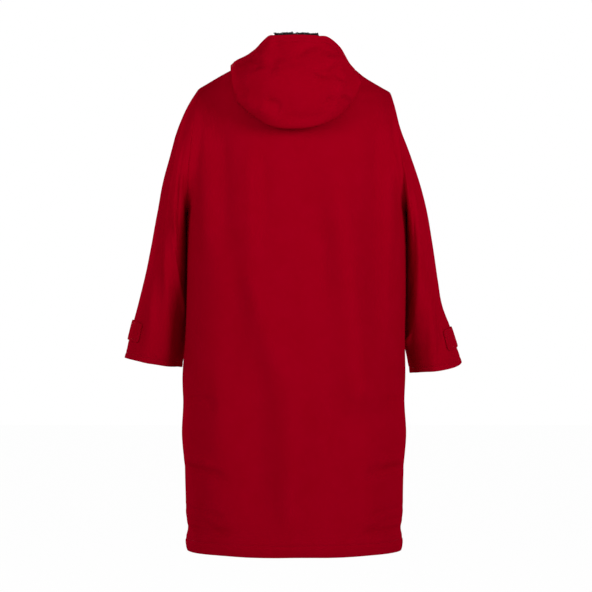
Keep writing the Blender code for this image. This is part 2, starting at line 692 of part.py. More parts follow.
def build():
    for item in list(bpy.data.objects):
        bpy.data.objects.remove(item, do_unlink=True)
    surface = make_surface()
    for name in surface.panels:
        hood = name.startswith("hood")
        wall = panel_wall(surface, [name], 0.0, HOOD_WALL if hood else WALL, SEAM_GAP / 2, 0.0)
        add_object(name, wall, RED_HOOD if hood else RED, 0.62)
    add_object("hood_lining", make_lining(surface), CHARCOAL, 0.95)
    surface.mesh.free()
    add_object("cuff_tab_left", make_cuff_tab(1), RED, 0.60)
    add_object("cuff_tab_right", make_cuff_tab(-1), RED, 0.60)

    points, normals = centre_front()
    _, _, length = run_of(points, normals, 0.0, 1.0)
    top = length - 2 * MM
    seat = top - SLIDER_LENGTH / 2
    line, out, _ = run_of(points, normals, 0.0, top)
    add_object("zip_tape_left", make_tape(1, line, out), ZIP_BLACK, 0.8)
    add_object("zip_tape_right", make_tape(-1, line, out), ZIP_BLACK, 0.8)
    line, out, _ = run_of(points, normals, 0.0, top - SLIDER_LENGTH - CHAIN_END_GAP)
    add_object("zip_chain", make_chain(line, out), ZIP_BLACK, 0.45)

    line, out, _ = run_of(points, normals, seat, seat + SLIDER_LENGTH / 2)
    outward = out[0]
    upward = Vector((0, outward.z, -outward.y)).normalized()
    turn = Matrix((Vector((1, 0, 0)), -outward, upward)).transposed().to_4x4()
    place = Matrix.Translation(line[0]) @ turn
    body, cap, bridge, eye = make_slider()
    slider = add_object("zip_slider", body, STEEL, 0.35, 1.0)
    slider.matrix_world = place
    combine(slider, guide("slider_cap", cap, place), "UNION")
    combine(slider, guide("slider_bridge", bridge, place), "UNION")
    combine(slider, guide("slider_eye", eye, place), "DIFFERENCE")
    pivot = place @ Matrix.Translation((0, -PIVOT_OUT * MM, 0))
    tab, hole = make_pull()
    pull = add_object("zip_pull", tab, STEEL, 0.35, 1.0)
    pull.matrix_world = pivot
    combine(pull, guide("pull_eye", hole, pivot), "DIFFERENCE")


build()
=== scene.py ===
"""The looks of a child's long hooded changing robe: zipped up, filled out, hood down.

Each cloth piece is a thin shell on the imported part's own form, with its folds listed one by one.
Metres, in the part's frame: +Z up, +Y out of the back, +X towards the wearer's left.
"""
import math

import bpy
import numpy as np
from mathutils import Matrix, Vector, noise
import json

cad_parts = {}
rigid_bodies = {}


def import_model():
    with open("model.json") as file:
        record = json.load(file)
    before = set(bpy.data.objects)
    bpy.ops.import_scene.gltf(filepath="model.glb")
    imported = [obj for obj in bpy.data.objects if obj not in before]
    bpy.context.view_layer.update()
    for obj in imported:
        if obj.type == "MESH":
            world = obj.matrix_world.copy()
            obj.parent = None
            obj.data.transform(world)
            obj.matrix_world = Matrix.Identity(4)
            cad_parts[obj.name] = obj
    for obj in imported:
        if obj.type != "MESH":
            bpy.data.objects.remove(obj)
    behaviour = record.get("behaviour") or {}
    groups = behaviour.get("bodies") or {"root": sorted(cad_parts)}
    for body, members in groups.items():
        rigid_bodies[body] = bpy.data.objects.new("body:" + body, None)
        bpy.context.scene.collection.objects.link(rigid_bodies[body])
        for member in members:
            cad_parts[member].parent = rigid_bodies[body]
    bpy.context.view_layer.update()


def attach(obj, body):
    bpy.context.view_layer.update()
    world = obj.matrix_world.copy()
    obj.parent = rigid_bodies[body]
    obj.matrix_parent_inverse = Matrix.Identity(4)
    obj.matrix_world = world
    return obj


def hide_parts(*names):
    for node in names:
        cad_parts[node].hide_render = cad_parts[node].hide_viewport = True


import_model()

MM = 0.001

# ---------------------------------------------------------------- sizes of the form

WALL = 3.0 * MM                 # shell and pile lining together
HOOD_WALL = 2.0 * MM            # hood shell alone
LINING_WALL = 3.0 * MM
LINING_GAP = 1.2 * MM
LINING_INSET = 1.5 * MM
SEAM_GAP = 0.12 * MM
SEAM_DEPTH = 0.7 * MM           # how far the cloth dips at a seam, and how widely
SEAM_WIDTH = 2.4 * MM
HEM_BAND = 22.5 * MM            # hem edge to its stitching
CUFF_BAND = 10.0 * MM
HOOD_BAND = 12.0 * MM

HEM_Z = -0.8825
UNDERARM_Z = -0.262
COLLAR_FRONT_Z = -0.042
NECK_HALF_WIDTH = 0.078
NECK_BACK = 0.055
NECK_FRONT = 0.075
NECK_SIDE_Z = 0.012
NECK_BACK_Z = 0.004
TIP = {1: (0.1765, -0.005, -0.031), -1: (-0.1775, -0.005, -0.037)}
SHOULDER_BOW = {1: 0.0006, -1: -0.0036}
ARMHOLE_HALF_DEPTH = 0.080
BLEND_REACH = 0.50              # how far in from the armhole the yoke is drawn to it
YOKE_ROUND = {1: 2.4, -1: 1.9}  # how square the yoke's profile is: back, front
SHOULDER_SHARE = 4 / 11         # of each quarter's top edge; the rest is neck
ZIP_SLOT = 9.0 * MM
CHAIN_WIDTH = 6.4 * MM

# Body tube, hem to underarm
BODY_COLUMNS = "z half_width back_depth front_depth centre_x square"
BODY_ROWS = [
    (-0.8825, 0.1985, 0.1095, 0.1070, 0.000, 2.00),
    (-0.863, 0.2005, 0.1168, 0.1148, 0.000, 2.00),
    (-0.844, 0.1972, 0.1185, 0.1165, 0.000, 2.00),
    (-0.821, 0.1998, 0.121, 0.119, 0.000, 2.02),
    (-0.777, 0.2003, 0.122, 0.120, 0.000, 2.05),
    (-0.730, 0.2015, 0.124, 0.122, 0.000, 2.07),
    (-0.668, 0.2063, 0.125, 0.122, 0.000, 2.10),
    (-0.607, 0.2037, 0.125, 0.122, 0.000, 2.12),
    (-0.562, 0.2058, 0.125, 0.122, 0.000, 2.15),
    (-0.500, 0.2030, 0.125, 0.121, -0.002, 2.18),
    (-0.420, 0.2022, 0.125, 0.121, -0.004, 2.20),
    (-0.340, 0.2022, 0.124, 0.120, -0.005, 2.25),
    (-0.262, 0.2020, 0.122, 0.119, -0.005, 2.30),
]

# Sleeves, armhole to cuff: the outer and the inner line, the middle's y and the half depth
SLEEVE_COLUMNS = "reach outer_x outer_z inner_x inner_z middle_y half_depth"
LEFT_SLEEVE_ROWS = [
    (0.00, 0.1765, -0.031, 0.1970, -0.262, -0.0025, 0.080),
    (0.08, 0.1940, -0.060, 0.1995, -0.268, -0.004, 0.0795),
    (0.17, 0.2100, -0.101, 0.1990, -0.278, -0.007, 0.078),
    (0.27, 0.2255, -0.150, 0.1984, -0.292, -0.012, 0.075),
    (0.38, 0.2425, -0.205, 0.1978, -0.312, -0.018, 0.072),
    (0.48, 0.2545, -0.260, 0.1976, -0.340, -0.024, 0.070),
    (0.58, 0.2650, -0.315, 0.1979, -0.375, -0.030, 0.068),
    (0.68, 0.2765, -0.370, 0.1988, -0.412, -0.036, 0.066),
    (0.77, 0.2895, -0.420, 0.2003, -0.450, -0.041, 0.063),
    (0.85, 0.3010, -0.462, 0.2027, -0.486, -0.045, 0.059),
    (0.93, 0.3105, -0.498, 0.2058, -0.520, -0.048, 0.055),
    (1.00, 0.3195, -0.529, 0.2095, -0.548, -0.050, 0.0495),
]
RIGHT_SLEEVE_ROWS = [
    (0.00, -0.1775, -0.037, -0.2070, -0.262, -0.0025, 0.080),
    (0.08, -0.1860, -0.065, -0.2085, -0.268, -0.004, 0.0795),
    (0.17, -0.1970, -0.103, -0.2080, -0.278, -0.007, 0.078),
    (0.27, -0.2140, -0.146, -0.2073, -0.292, -0.012, 0.075),
    (0.38, -0.2340, -0.206, -0.2067, -0.313, -0.018, 0.072),
    (0.48, -0.2490, -0.265, -0.2065, -0.343, -0.024, 0.070),
    (0.58, -0.2600, -0.324, -0.2063, -0.380, -0.030, 0.068),
    (0.68, -0.2695, -0.384, -0.2062, -0.420, -0.036, 0.066),
    (0.77, -0.2780, -0.431, -0.2064, -0.460, -0.041, 0.063),
    (0.85, -0.2920, -0.470, -0.2074, -0.497, -0.045, 0.059),
    (0.93, -0.3040, -0.506, -0.2120, -0.531, -0.048, 0.055),
    (1.00, -0.3150, -0.537, -0.2160, -0.559, -0.050, 0.0510),
]

# Hood lying down, round the neck: 0 is the centre back, 180 the centre front, less than 0
# the wearer's right. How far out and how high its turned-over top, inner side, bag bottom,
# outer side and face edge lie.
HOOD_COLUMNS = "turn over_r over_z inner_r inner_z bottom_r bottom_z outer_r outer_z edge_r edge_z"
HOOD_ROWS = [
    (-180, 0.082, -0.022, 0.085, -0.015, 0.088, -0.008, 0.092, 0.000, 0.097, 0.007),
    (-150, 0.085, -0.008, 0.088, -0.001, 0.091, 0.005, 0.095, 0.012, 0.099, 0.019),
    (-120, 0.086, 0.017, 0.088, 0.021, 0.091, 0.024, 0.094, 0.027, 0.097, 0.031),
    (-90, 0.086, 0.022, 0.090, 0.020, 0.094, 0.018, 0.097, 0.017, 0.100, 0.019),
    (-75, 0.089, 0.015, 0.095, 0.011, 0.101, 0.006, 0.105, 0.003, 0.108, 0.003),
    (-60, 0.093, 0.014, 0.104, 0.006, 0.115, -0.004, 0.123, -0.012, 0.126, -0.012),
    (-52, 0.095, 0.013, 0.110, 0.000, 0.135, -0.034, 0.148, -0.031, 0.137, -0.016),
    (-45, 0.096, 0.014, 0.117, -0.012, 0.146, -0.064, 0.160, -0.040, 0.146, -0.009),
    (-38, 0.097, 0.012, 0.121, -0.027, 0.149, -0.084, 0.166, -0.044, 0.150, 0.001),
    (-30, 0.097, 0.009, 0.124, -0.041, 0.154, -0.098, 0.172, -0.043, 0.151, 0.0245),
    (-24, 0.096, 0.008, 0.123, -0.047, 0.153, -0.107, 0.174, -0.045, 0.152, 0.037),
    (-19, 0.095, 0.007, 0.122, -0.051, 0.151, -0.113, 0.175, -0.046, 0.1525, 0.0435),
    (-14, 0.095, 0.007, 0.122, -0.053, 0.149, -0.117, 0.176, -0.047, 0.153, 0.0435),
    (0, 0.094, 0.006, 0.120, -0.055, 0.147, -0.121, 0.174, -0.048, 0.152, 0.0445),
    (14, 0.095, 0.007, 0.122, -0.053, 0.149, -0.117, 0.176, -0.047, 0.153, 0.0440),
    (20, 0.095, 0.007, 0.123, -0.050, 0.151, -0.111, 0.175, -0.045, 0.1527, 0.0440),
    (24, 0.096, 0.008, 0.124, -0.047, 0.153, -0.103, 0.174, -0.043, 0.1525, 0.0360),
    (30, 0.097, 0.009, 0.124, -0.040, 0.154, -0.091, 0.172, -0.038, 0.151, 0.0230),
    (38, 0.097, 0.012, 0.121, -0.025, 0.147, -0.074, 0.163, -0.034, 0.1505, 0.0125),
    (45, 0.096, 0.016, 0.117, -0.011, 0.142, -0.060, 0.156, -0.030, 0.149, 0.0080),
    (52, 0.095, 0.016, 0.112, 0.002, 0.136, -0.034, 0.143, -0.018, 0.143, 0.0055),
    (60, 0.093, 0.017, 0.106, 0.011, 0.122, -0.002, 0.134, -0.007, 0.136, 0.0035),
    (75, 0.089, 0.019, 0.099, 0.017, 0.110, 0.011, 0.118, 0.007, 0.120, 0.010),
    (90, 0.086, 0.023, 0.093, 0.021, 0.099, 0.019, 0.105, 0.017, 0.110, 0.018),
    (120, 0.086, 0.018, 0.089, 0.023, 0.092, 0.027, 0.095, 0.031, 0.098, 0.035),
    (150, 0.085, -0.008, 0.088, -0.001, 0.091, 0.005, 0.095, 0.012, 0.099, 0.019),
    (180, 0.082, -0.022, 0.085, -0.015, 0.088, -0.008, 0.092, 0.000, 0.097, 0.007),
]
CUFF_SAG = {1: 0.0008, -1: 0.0052}
SLEEVE_FULL = 0.008             # how much fuller a sleeve is at the back beside the body
SHOULDER_DENT = (-0.127, 0.021, 3.2 * MM)   # x, width and depth, on the wearer's right
STAND_RISE = 0.012
STAND_LEAN = 0.005
EDGE_SHIFT = -0.008
GUSSET_TURN = 15.0              # the hood's middle panel reaches this far each side
LINING_RISE = 5.2 * MM
LINING_SHORT = 24.0 * MM        # how far inside the face edge hidden pile ends
PILE_THIN = 1.3 * MM            # how much thinner the pile is near the shoulders
RISE_Y = (0.085, 0.115)

# Cuff tabs
TAB_TURNS = (56.0, -78.0)
TAB_REACH = {1: (0.845, 0.925), -1: (0.855, 0.935)}
TAB_SEAT = 0.9 * MM
TAB_WALL = 2.5 * MM
TAB_MIDDLE = 0.89               # a place along the sleeve between the tabs' edges

# ---------------------------------------------------------------- folds, listed one by one
# Each is a soft ridge (height over 0) or trough from a first to a last point. bend bows
# its line sideways, skew makes one flank steeper.
# Columns: x0 z0 x1 z1 width0 width1 height bend skew
BACK_FOLDS = [
    (-0.074, -0.19, -0.114, -0.62, 0.031, 0.033, 0.0155, 0.004, 0.0),
    (-0.149, -0.12, -0.148, -0.46, 0.013, 0.018, -0.0085, 0.003, 0.3),
    (-0.180, -0.09, -0.178, -0.34, 0.012, 0.016, 0.0050, 0.000, 0.0),
    (-0.046, -0.28, -0.052, -0.42, 0.020, 0.024, -0.0040, 0.004, 0.2),
    (0.080, -0.17, 0.078, -0.34, 0.014, 0.018, 0.0055, 0.003, 0.3),
    (0.056, -0.16, 0.052, -0.30, 0.016, 0.020, -0.0030, 0.002, 0.0),
    (0.080, -0.38, 0.026, -0.56, 0.018, 0.026, 0.0065, 0.002, 0.0),
    (0.120, -0.30, 0.104, -0.56, 0.024, 0.030, -0.0050, 0.004, 0.0),
    (0.156, -0.09, 0.156, -0.33, 0.015, 0.020, 0.0060, -0.003, 0.0),
    (0.130, -0.12, 0.126, -0.30, 0.014, 0.018, -0.0035, 0.003, 0.0),
    (0.180, -0.10, 0.188, -0.26, 0.009, 0.011, -0.0040, 0.000, 0.0),
    (0.004, -0.55, 0.004, -0.84, 0.034, 0.024, 0.0080, 0.000, 0.0),
    (0.068, -0.54, 0.060, -0.84, 0.030, 0.034, -0.0065, 0.000, 0.0),
    (-0.062, -0.58, -0.058, -0.84, 0.028, 0.034, -0.0060, 0.000, 0.0),
    (0.136, -0.56, 0.140, -0.82, 0.024, 0.028, 0.0045, 0.000, 0.0),
    (-0.128, -0.66, -0.136, -0.84, 0.024, 0.028, 0.0045, 0.000, 0.0),
    (-0.096, -0.590, -0.176, -0.592, 0.022, 0.026, 0.0050, 0.006, 0.0),
    (-0.084, -0.640, -0.160, -0.644, 0.022, 0.026, -0.0028, 0.004, 0.0),
    (0.192, -0.600, 0.140, -0.612, 0.008, 0.014, -0.0040, 0.004, 0.2),
    (-0.192, -0.600, -0.166, -0.610, 0.007, 0.011, -0.0034, -0.002, 0.0),
    (0.196, -0.728, 0.126, -0.738, 0.007, 0.010, -0.0052, 0.003, 0.3),
    (-0.196, -0.728, -0.130, -0.736, 0.007, 0.010, -0.0052, -0.003, 0.3),
    (0.196, -0.712, 0.150, -0.718, 0.008, 0.011, 0.0036, 0.002, 0.0),
    (-0.196, -0.712, -0.156, -0.716, 0.008, 0.011, 0.0036, -0.002, 0.0),
    (0.198, -0.802, 0.130, -0.812, 0.005, 0.007, -0.0034, 0.002, 0.0),
    (-0.198, -0.802, -0.138, -0.808, 0.005, 0.007, -0.0034, -0.002, 0.0),
    (0.198, -0.822, 0.146, -0.826, 0.005, 0.006, -0.0038, 0.002, 0.2),
    (-0.198, -0.822, -0.150, -0.824, 0.005, 0.006, -0.0038, -0.002, 0.2),
    (0.198, -0.841, 0.122, -0.838, 0.006, 0.008, -0.0044, 0.001, 0.0),
    (-0.198, -0.841, -0.130, -0.839, 0.006, 0.008, -0.0044, -0.001, 0.0),
    (-0.120, -0.030, -0.130, -0.062, 0.012, 0.013, -0.0016, 0.002, 0.0),
]
FRONT_FOLDS = [
    (0.075, -0.12, 0.102, -0.50, 0.022, 0.030, -0.0075, 0.004, 0.3),
    (-0.086, -0.15, -0.108, -0.56, 0.024, 0.032, -0.0070, -0.004, 0.3),
    (0.120, -0.14, 0.136, -0.46, 0.020, 0.028, 0.0060, 0.004, 0.0),
    (-0.128, -0.12, -0.142, -0.42, 0.018, 0.026, 0.0060, -0.004, 0.0),
    (0.052, -0.30, 0.060, -0.66, 0.022, 0.030, 0.0055, 0.002, 0.0),
    (-0.056, -0.34, -0.064, -0.72, 0.022, 0.030, 0.0060, 0.002, 0.0),
    (0.134, -0.52, 0.128, -0.84, 0.026, 0.034, -0.0070, 0.002, 0.0),
    (-0.132, -0.50, -0.124, -0.84, 0.026, 0.036, -0.0065, 0.002, 0.0),
    (0.090, -0.60, 0.084, -0.85, 0.024, 0.028, 0.0050, 0.000, 0.0),
    (-0.088, -0.64, -0.082, -0.85, 0.024, 0.028, 0.0052, 0.000, 0.0),
    (0.196, -0.732, 0.136, -0.740, 0.007, 0.010, -0.0048, 0.002, 0.2),
    (-0.196, -0.732, -0.142, -0.728, 0.007, 0.010, -0.0050, -0.002, 0.2),
    (0.198, -0.818, 0.140, -0.828, 0.005, 0.007, -0.0036, 0.002, 0.0),
    (-0.198, -0.822, -0.144, -0.820, 0.005, 0.007, -0.0036, -0.002, 0.0),
    (0.198, -0.841, 0.130, -0.839, 0.006, 0.008, -0.0042, 0.001, 0.0),
    (-0.198, -0.841, -0.126, -0.838, 0.006, 0.008, -0.0042, -0.001, 0.0),
    (0.050, -0.070, 0.112, -0.150, 0.012, 0.016, -0.0046, 0.004, 0.0),
    (-0.048, -0.072, -0.116, -0.140, 0.012, 0.016, -0.0046, -0.004, 0.0),
]
# Sleeve folds: a is the arc from the outer line round by the back, b the length down
# Columns: a0 b0 a1 b1 width0 width1 height bend skew
LEFT_SLEEVE_FOLDS = [
    (0.118, 0.040, 0.150, 0.135, 0.011, 0.013, 0.0046, 0.004, 0.2),
    (0.138, 0.150, 0.172, 0.215, 0.011, 0.014, 0.0036, 0.002, 0.0),
    (0.140, 0.060, 0.168, 0.110, 0.012, 0.014, -0.0025, 0.000, 0.0),
    (0.060, 0.060, 0.085, 0.300, 0.014, 0.018, -0.0040, 0.006, 0.0),
    (0.036, 0.050, 0.048, 0.260, 0.012, 0.016, 0.0034, 0.004, 0.0),
    (0.098, 0.200, 0.106, 0.400, 0.016, 0.018, 0.0045, 0.006, 0.0),
    (0.152, 0.300, 0.118, 0.520, 0.016, 0.024, -0.0130, 0.004, -0.4),
    (0.070, 0.330, 0.076, 0.470, 0.014, 0.016, 0.0036, 0.004, 0.0),
    (0.300, 0.080, 0.290, 0.260, 0.014, 0.018, -0.0050, 0.006, 0.0),
    (0.350, 0.060, 0.330, 0.300, 0.014, 0.018, 0.0045, 0.004, 0.0),
    (0.260, 0.170, 0.300, 0.330, 0.012, 0.016, 0.0046, 0.004, 0.0),
    (0.275, 0.350, 0.320, 0.450, 0.010, 0.014, -0.0042, 0.004, 0.0),
]
RIGHT_SLEEVE_FOLDS = [
    (0.154, 0.090, 0.158, 0.190, 0.018, 0.020, -0.0030, 0.002, 0.0),
    (0.112, 0.030, 0.118, 0.280, 0.014, 0.016, 0.0034, 0.002, 0.0),
    (0.130, 0.262, 0.178, 0.254, 0.008, 0.009, 0.0075, 0.003, 0.3),
    (0.158, 0.290, 0.124, 0.500, 0.018, 0.024, -0.0130, 0.004, -0.4),
    (0.078, 0.330, 0.080, 0.470, 0.014, 0.016, 0.0036, 0.004, 0.0),
    (0.078, 0.050, 0.090, 0.150, 0.010, 0.014, -0.0040, 0.004, 0.0),
    (0.048, 0.060, 0.062, 0.300, 0.014, 0.018, -0.0036, 0.006, 0.0),
    (0.030, 0.350, 0.070, 0.420, 0.010, 0.014, -0.0040, 0.004, 0.0),
    (0.300, 0.080, 0.290, 0.260, 0.014, 0.018, -0.0050, -0.006, 0.0),
    (0.345, 0.070, 0.335, 0.300, 0.014, 0.018, 0.0045, 0.004, 0.0),
    (0.262, 0.160, 0.296, 0.330, 0.012, 0.016, 0.0046, 0.004, 0.0),
    (0.280, 0.340, 0.318, 0.450, 0.010, 0.014, -0.0042, 0.004, 0.0),
]
# Hood folds, on the side that faces back, by x and z as seen from behind
HOOD_FOLDS = [
    (0.078, 0.010, 0.062, -0.014, 0.008, 0.009, -0.0046, 0.002, 0.3),
    (0.060, 0.014, 0.052, -0.006, 0.008, 0.009, 0.0020, 0.000, 0.0),
    (0.062, -0.008, 0.030, -0.018, 0.008, 0.009, -0.0030, 0.002, 0.0),
    (0.032, 0.034, 0.028, -0.004, 0.013, 0.014, -0.0036, 0.003, 0.0),
    (-0.036, -0.018, -0.078, -0.012, 0.008, 0.008, -0.0060, -0.010, 0.2),
    (-0.050, 0.004, -0.082, 0.008, 0.011, 0.010, 0.0055, -0.008, 0.0),
    (-0.078, -0.044, -0.104, -0.064, 0.012, 0.013, 0.0050, -0.004, 0.0),
    (-0.008, 0.008, -0.048, 0.026, 0.007, 0.008, -0.0036, 0.006, 0.0),
    (-0.076, -0.028, -0.086, -0.034, 0.005, 0.005, -0.0040, 0.000, 0.0),
    (0.048, -0.074, 0.024, -0.088, 0.009, 0.010, -0.0045, 0.002, 0.2),
    (0.062, -0.084, 0.040, -0.106, 0.010, 0.012, 0.0034, 0.002, 0.0),
    (0.102, -0.060, 0.070, -0.094, 0.012, 0.012, 0.0045, 0.004, 0.0),
    (0.018, -0.102, -0.054, -0.104, 0.012, 0.012, -0.0040, -0.004, 0.0),
    (-0.086, -0.062, -0.094, -0.072, 0.006, 0.006, -0.0030, 0.000, 0.0),
    (-0.058, -0.070, -0.070, -0.080, 0.007, 0.008, -0.0030, 0.003, 0.0),
    (0.106, 0.000, 0.098, -0.050, 0.010, 0.012, 0.0035, 0.002, 0.0),
    (0.012, -0.010, -0.004, -0.070, 0.018, 0.020, 0.0025, 0.002, 0.0),
]

# ---------------------------------------------------------------- small things

STITCH = (3.1 * MM, 0.26 * MM)      # length, radius
STITCH_PITCH = 4.0 * MM
TUFT_COUNT = 1500
TUFT = (4.6 * MM, 0.85 * MM)        # length, radius
TAPE_GAP = 0.3 * MM
TAPE_WIDTH = 15.0 * MM
TAPE_WALL = 1.0 * MM
TAPE_SINK = 3.0 * MM
ZIP_LOW_Z = -0.862
SLIDER_LENGTH = 13.0 * MM
CHAIN_END_GAP = 1.0 * MM
TOOTH_PITCH = 2.6 * MM
TOOTH_OUTLINE = [               # mm, from the slot's middle outwards and along the chain
    (3.2, -0.85), (3.2, 0.85), (0.6, 0.6), (-0.2, 1.0),
    (-1.0, 0.55), (-1.0, -0.55), (-0.2, -1.0), (0.6, -0.6),
]
ZIP_TOP_INSET = 2.0 * MM        # from the neck seam to the tapes' ends
ZIP_STITCH_INSET = 7.0 * MM     # from the fronts' edges
TAB_CORNER = 6.0 * MM
TAB_STITCH_INSET = 4.0 * MM

# ---------------------------------------------------------------- fineness

BODY_STEP = 4.6 * MM
QUARTER_STEPS = 88
YOKE_STEPS = 72
SLEEVE_STEPS = 104
HOOD_TURN_STEP = 1.25
HOOD_STEPS = 100
TAB_GRID = (72, 17)             # columns round the sleeve, rows along it
TAPE_COLUMNS = 7
TAPE_ROWS = 170


def table(columns, rows):
    """Rows of numbers as one array for each named column."""
    names = columns.split()
    return {name: np.array([row[i] for row in rows], float) for i, name in enumerate(names)}


BODY = table(BODY_COLUMNS, BODY_ROWS)
SLEEVES = {1: table(SLEEVE_COLUMNS, LEFT_SLEEVE_ROWS), -1: table(SLEEVE_COLUMNS, RIGHT_SLEEVE_ROWS)}
HOOD = table(HOOD_COLUMNS, HOOD_ROWS)


# ---------------------------------------------------------------- curves and the base form

def along(xs, ys, x):
    """Smooth curve through a table's rows, read at x."""
    x = np.asarray(x, float)
    slopes = np.gradient(ys, xs)
    i = np.clip(np.searchsorted(xs, x) - 1, 0, len(xs) - 2)
    step = xs[i + 1] - xs[i]
    t = (x - xs[i]) / step
    start = (1 + 2 * t) * (1 - t) ** 2 * ys[i] + t * t * (3 - 2 * t) * ys[i + 1]
    return start + step * (t * (1 - t) ** 2 * slopes[i] - t * t * (1 - t) * slopes[i + 1])


def smooth_step(value, low, high):
    """0 below low, 1 above high, smooth between."""
    t = np.clip((value - low) / (high - low), 0.0, 1.0)
    return t * t * (3 - 2 * t)


def rounded(value, square):
    """A sine or cosine bent towards a squarer oval."""
    return np.sign(value) * np.abs(value) ** (2 / square)


def stack(x, y, z):
    """Three arrays as one array of points."""
    return np.stack(np.broadcast_arrays(x, y, z), axis=-1)


def unit(vectors):
    """Vectors made one long."""
    return vectors / np.linalg.norm(vectors, axis=-1, keepdims=True)


def line_lengths(points):
    """Length along a line of points from its first."""
    return np.concatenate([[0.0], np.cumsum(np.linalg.norm(np.diff(points, axis=0), axis=1))])


def read_line(steps, values, wanted):
    """A line's points or directions, read at stated lengths along it."""
    return np.stack([np.interp(wanted, steps, values[:, axis]) for axis in range(3)], -1)


def turn_on(side, facing, turn):
    """A turn from the middle of back or front, as a turn from the centre back."""
    return (turn if facing > 0 else 180 - turn) * side


def body_points(turn, z):
    """The body tube: turn 0 is the centre back, 90 the wearer's left side."""
    angle = np.radians(turn)
    square = along(BODY["z"], BODY["square"], z)
    back = along(BODY["z"], BODY["back_depth"], z)
    front = along(BODY["z"], BODY["front_depth"], z)
    depth = np.where(np.cos(angle) > 0, back, front)
    x = along(BODY["z"], BODY["half_width"], z) * rounded(np.sin(angle), square)
    return stack(x + along(BODY["z"], BODY["centre_x"], z), depth * rounded(np.cos(angle), square), z)


def neck_points(turn):
    """The neck seam, turned as the body is."""
    angle = np.radians(turn)
    across = np.sin(angle)
    back = np.cos(angle) > 0
    y = np.where(back, NECK_BACK, NECK_FRONT) * np.cos(angle)
    low = np.where(back, NECK_BACK_Z, COLLAR_FRONT_Z)
    return stack(NECK_HALF_WIDTH * across, y, low + (NECK_SIDE_Z - low) * across ** 2)


def shoulder_points(side, t):
    """The shoulder line from its tip (0) to the neck (1)."""
    t = np.asarray(t, float)[..., None]
    tip, neck = np.array(TIP[side]), neck_points(90.0 * side)
    return tip + (neck - tip) * t + np.array((0, 0, SHOULDER_BOW[side])) * 4 * t * (1 - t)


def armhole_points(side, facing, turn):
    """The armhole seam: turn 0 is the shoulder tip, 180 the underarm."""
    angle = np.radians(np.asarray(turn, float))[..., None]
    tip, low = np.array(TIP[side]), body_points(90.0 * side, UNDERARM_Z)
    points = (tip + low) / 2 + (tip - low) / 2 * np.cos(angle)
    return points + np.array((0, facing * ARMHOLE_HALF_DEPTH, 0)) * np.sin(angle)


def plain_yoke(side, facing, across, up):
    """The yoke before it is drawn out to the armhole."""
    turn = 90 * (1 - across)
    low = body_points(turn_on(side, facing, turn), UNDERARM_Z)
    neck_turn = 90 * (1 - np.clip((across - SHOULDER_SHARE) / (1 - SHOULDER_SHARE), 0, 1))
    neck = neck_points(turn_on(side, facing, neck_turn))
    shoulder = shoulder_points(side, np.clip(across / SHOULDER_SHARE, 0, 1))
    top = np.where((across < SHOULDER_SHARE)[..., None], shoulder, neck)
    rise = ((1 - np.cos(np.pi * up)) / 2)[..., None]
    square = YOKE_ROUND[facing]
    inward = 1 - (1 - rise ** square) ** (1 / square)
    points = low + (top - low) * inward
    points[..., 2] = low[..., 2] + (top[..., 2] - low[..., 2]) * rise[..., 0]
    return points


def yoke_points(side, facing, across, up):
    """Front or back above the underarm: across 0 is the armhole, 1 the middle.

    Near the armhole a smooth curve runs from the seam into the plain yoke."""
    across, up = np.broadcast_arrays(across, up)
    edge = armhole_points(side, facing, 180 * (1 - up))
    reach = BLEND_REACH * np.sin(np.pi * np.clip(up, 0, 1)) ** 0.62 + 1e-6
    step = np.minimum(0.05, reach / 2) + 1e-4     # wide, so the neck's corner makes no kink
    inner = plain_yoke(side, facing, reach, up)
    run = plain_yoke(side, facing, reach + step, up) - plain_yoke(side, facing, reach - step, up)
    slope = run / (2 * step[..., None]) * reach[..., None]
    t = np.clip(across / reach, 0, 1)[..., None]
    start = (inner - edge) * 0.9
    blend = ((1 + 2 * t) * (1 - t) ** 2 * edge + t * (1 - t) ** 2 * start
             + t * t * (3 - 2 * t) * inner - t * t * (1 - t) * slope)
    return np.where((across < reach)[..., None], blend, plain_yoke(side, facing, across, up))


def spread_up(across, up):
    """Where the yoke's rows lie: even round the armhole, and evenly spaced in height further in."""
    even = smooth_step(across, 0.10, 0.60)
    rise = (1 - np.cos(np.pi * up)) / 2 * (1 - even) + np.sin(np.pi * up / 2) * even
    return np.arccos(np.clip(1 - 2 * rise, -1, 1)) / np.pi


def sleeve_points(side, turn, reach):
    """A sleeve: turn 0 is the outer line, 90 the back, 180 the inner line."""
    turn, reach = np.broadcast_arrays(np.asarray(turn, float), np.asarray(reach, float))
    rows = {name: along(SLEEVES[side]["reach"], SLEEVES[side][name], reach)
            for name in SLEEVES[side] if name != "reach"}
    outer = stack(rows["outer_x"], rows["middle_y"], rows["outer_z"])
    inner = stack(rows["inner_x"], rows["middle_y"], rows["inner_z"])
    angle = np.radians(turn)
    points = (outer + inner) / 2 + (outer - inner) / 2 * np.cos(angle)[..., None]
    points[..., 1] += rows["half_depth"] * np.sin(angle)
    points[..., 1] += TIP[side][1] / 2 * np.cos(angle) * (1 - smooth_step(reach, 0.0, 0.2))
    full = np.where(turn <= 180, np.sin(np.pi * np.clip((turn - 60) / 120, 0, 1)) ** 2, 0.0)
    points[..., 1] += (SLEEVE_FULL * full * smooth_step(reach, 0.04, 0.25)
                       * smooth_step(-reach, -0.80, -0.60))
    points[..., 2] -= (CUFF_SAG[side] * np.clip(np.sin(angle), 0, 1) * (1 + np.cos(angle))
                       * smooth_step(reach, 0.88, 1.0))
    folded = np.where(turn <= 180, turn, 360 - turn)
    facing = np.where(turn <= 180, 1, -1)
    seam, middle = armhole_points(side, 1, folded), armhole_points(side, 0, folded)[..., 1]
    seam[..., 1] = middle + facing * (seam[..., 1] - middle)
    return np.where((reach == 0.0)[..., None], seam, points)


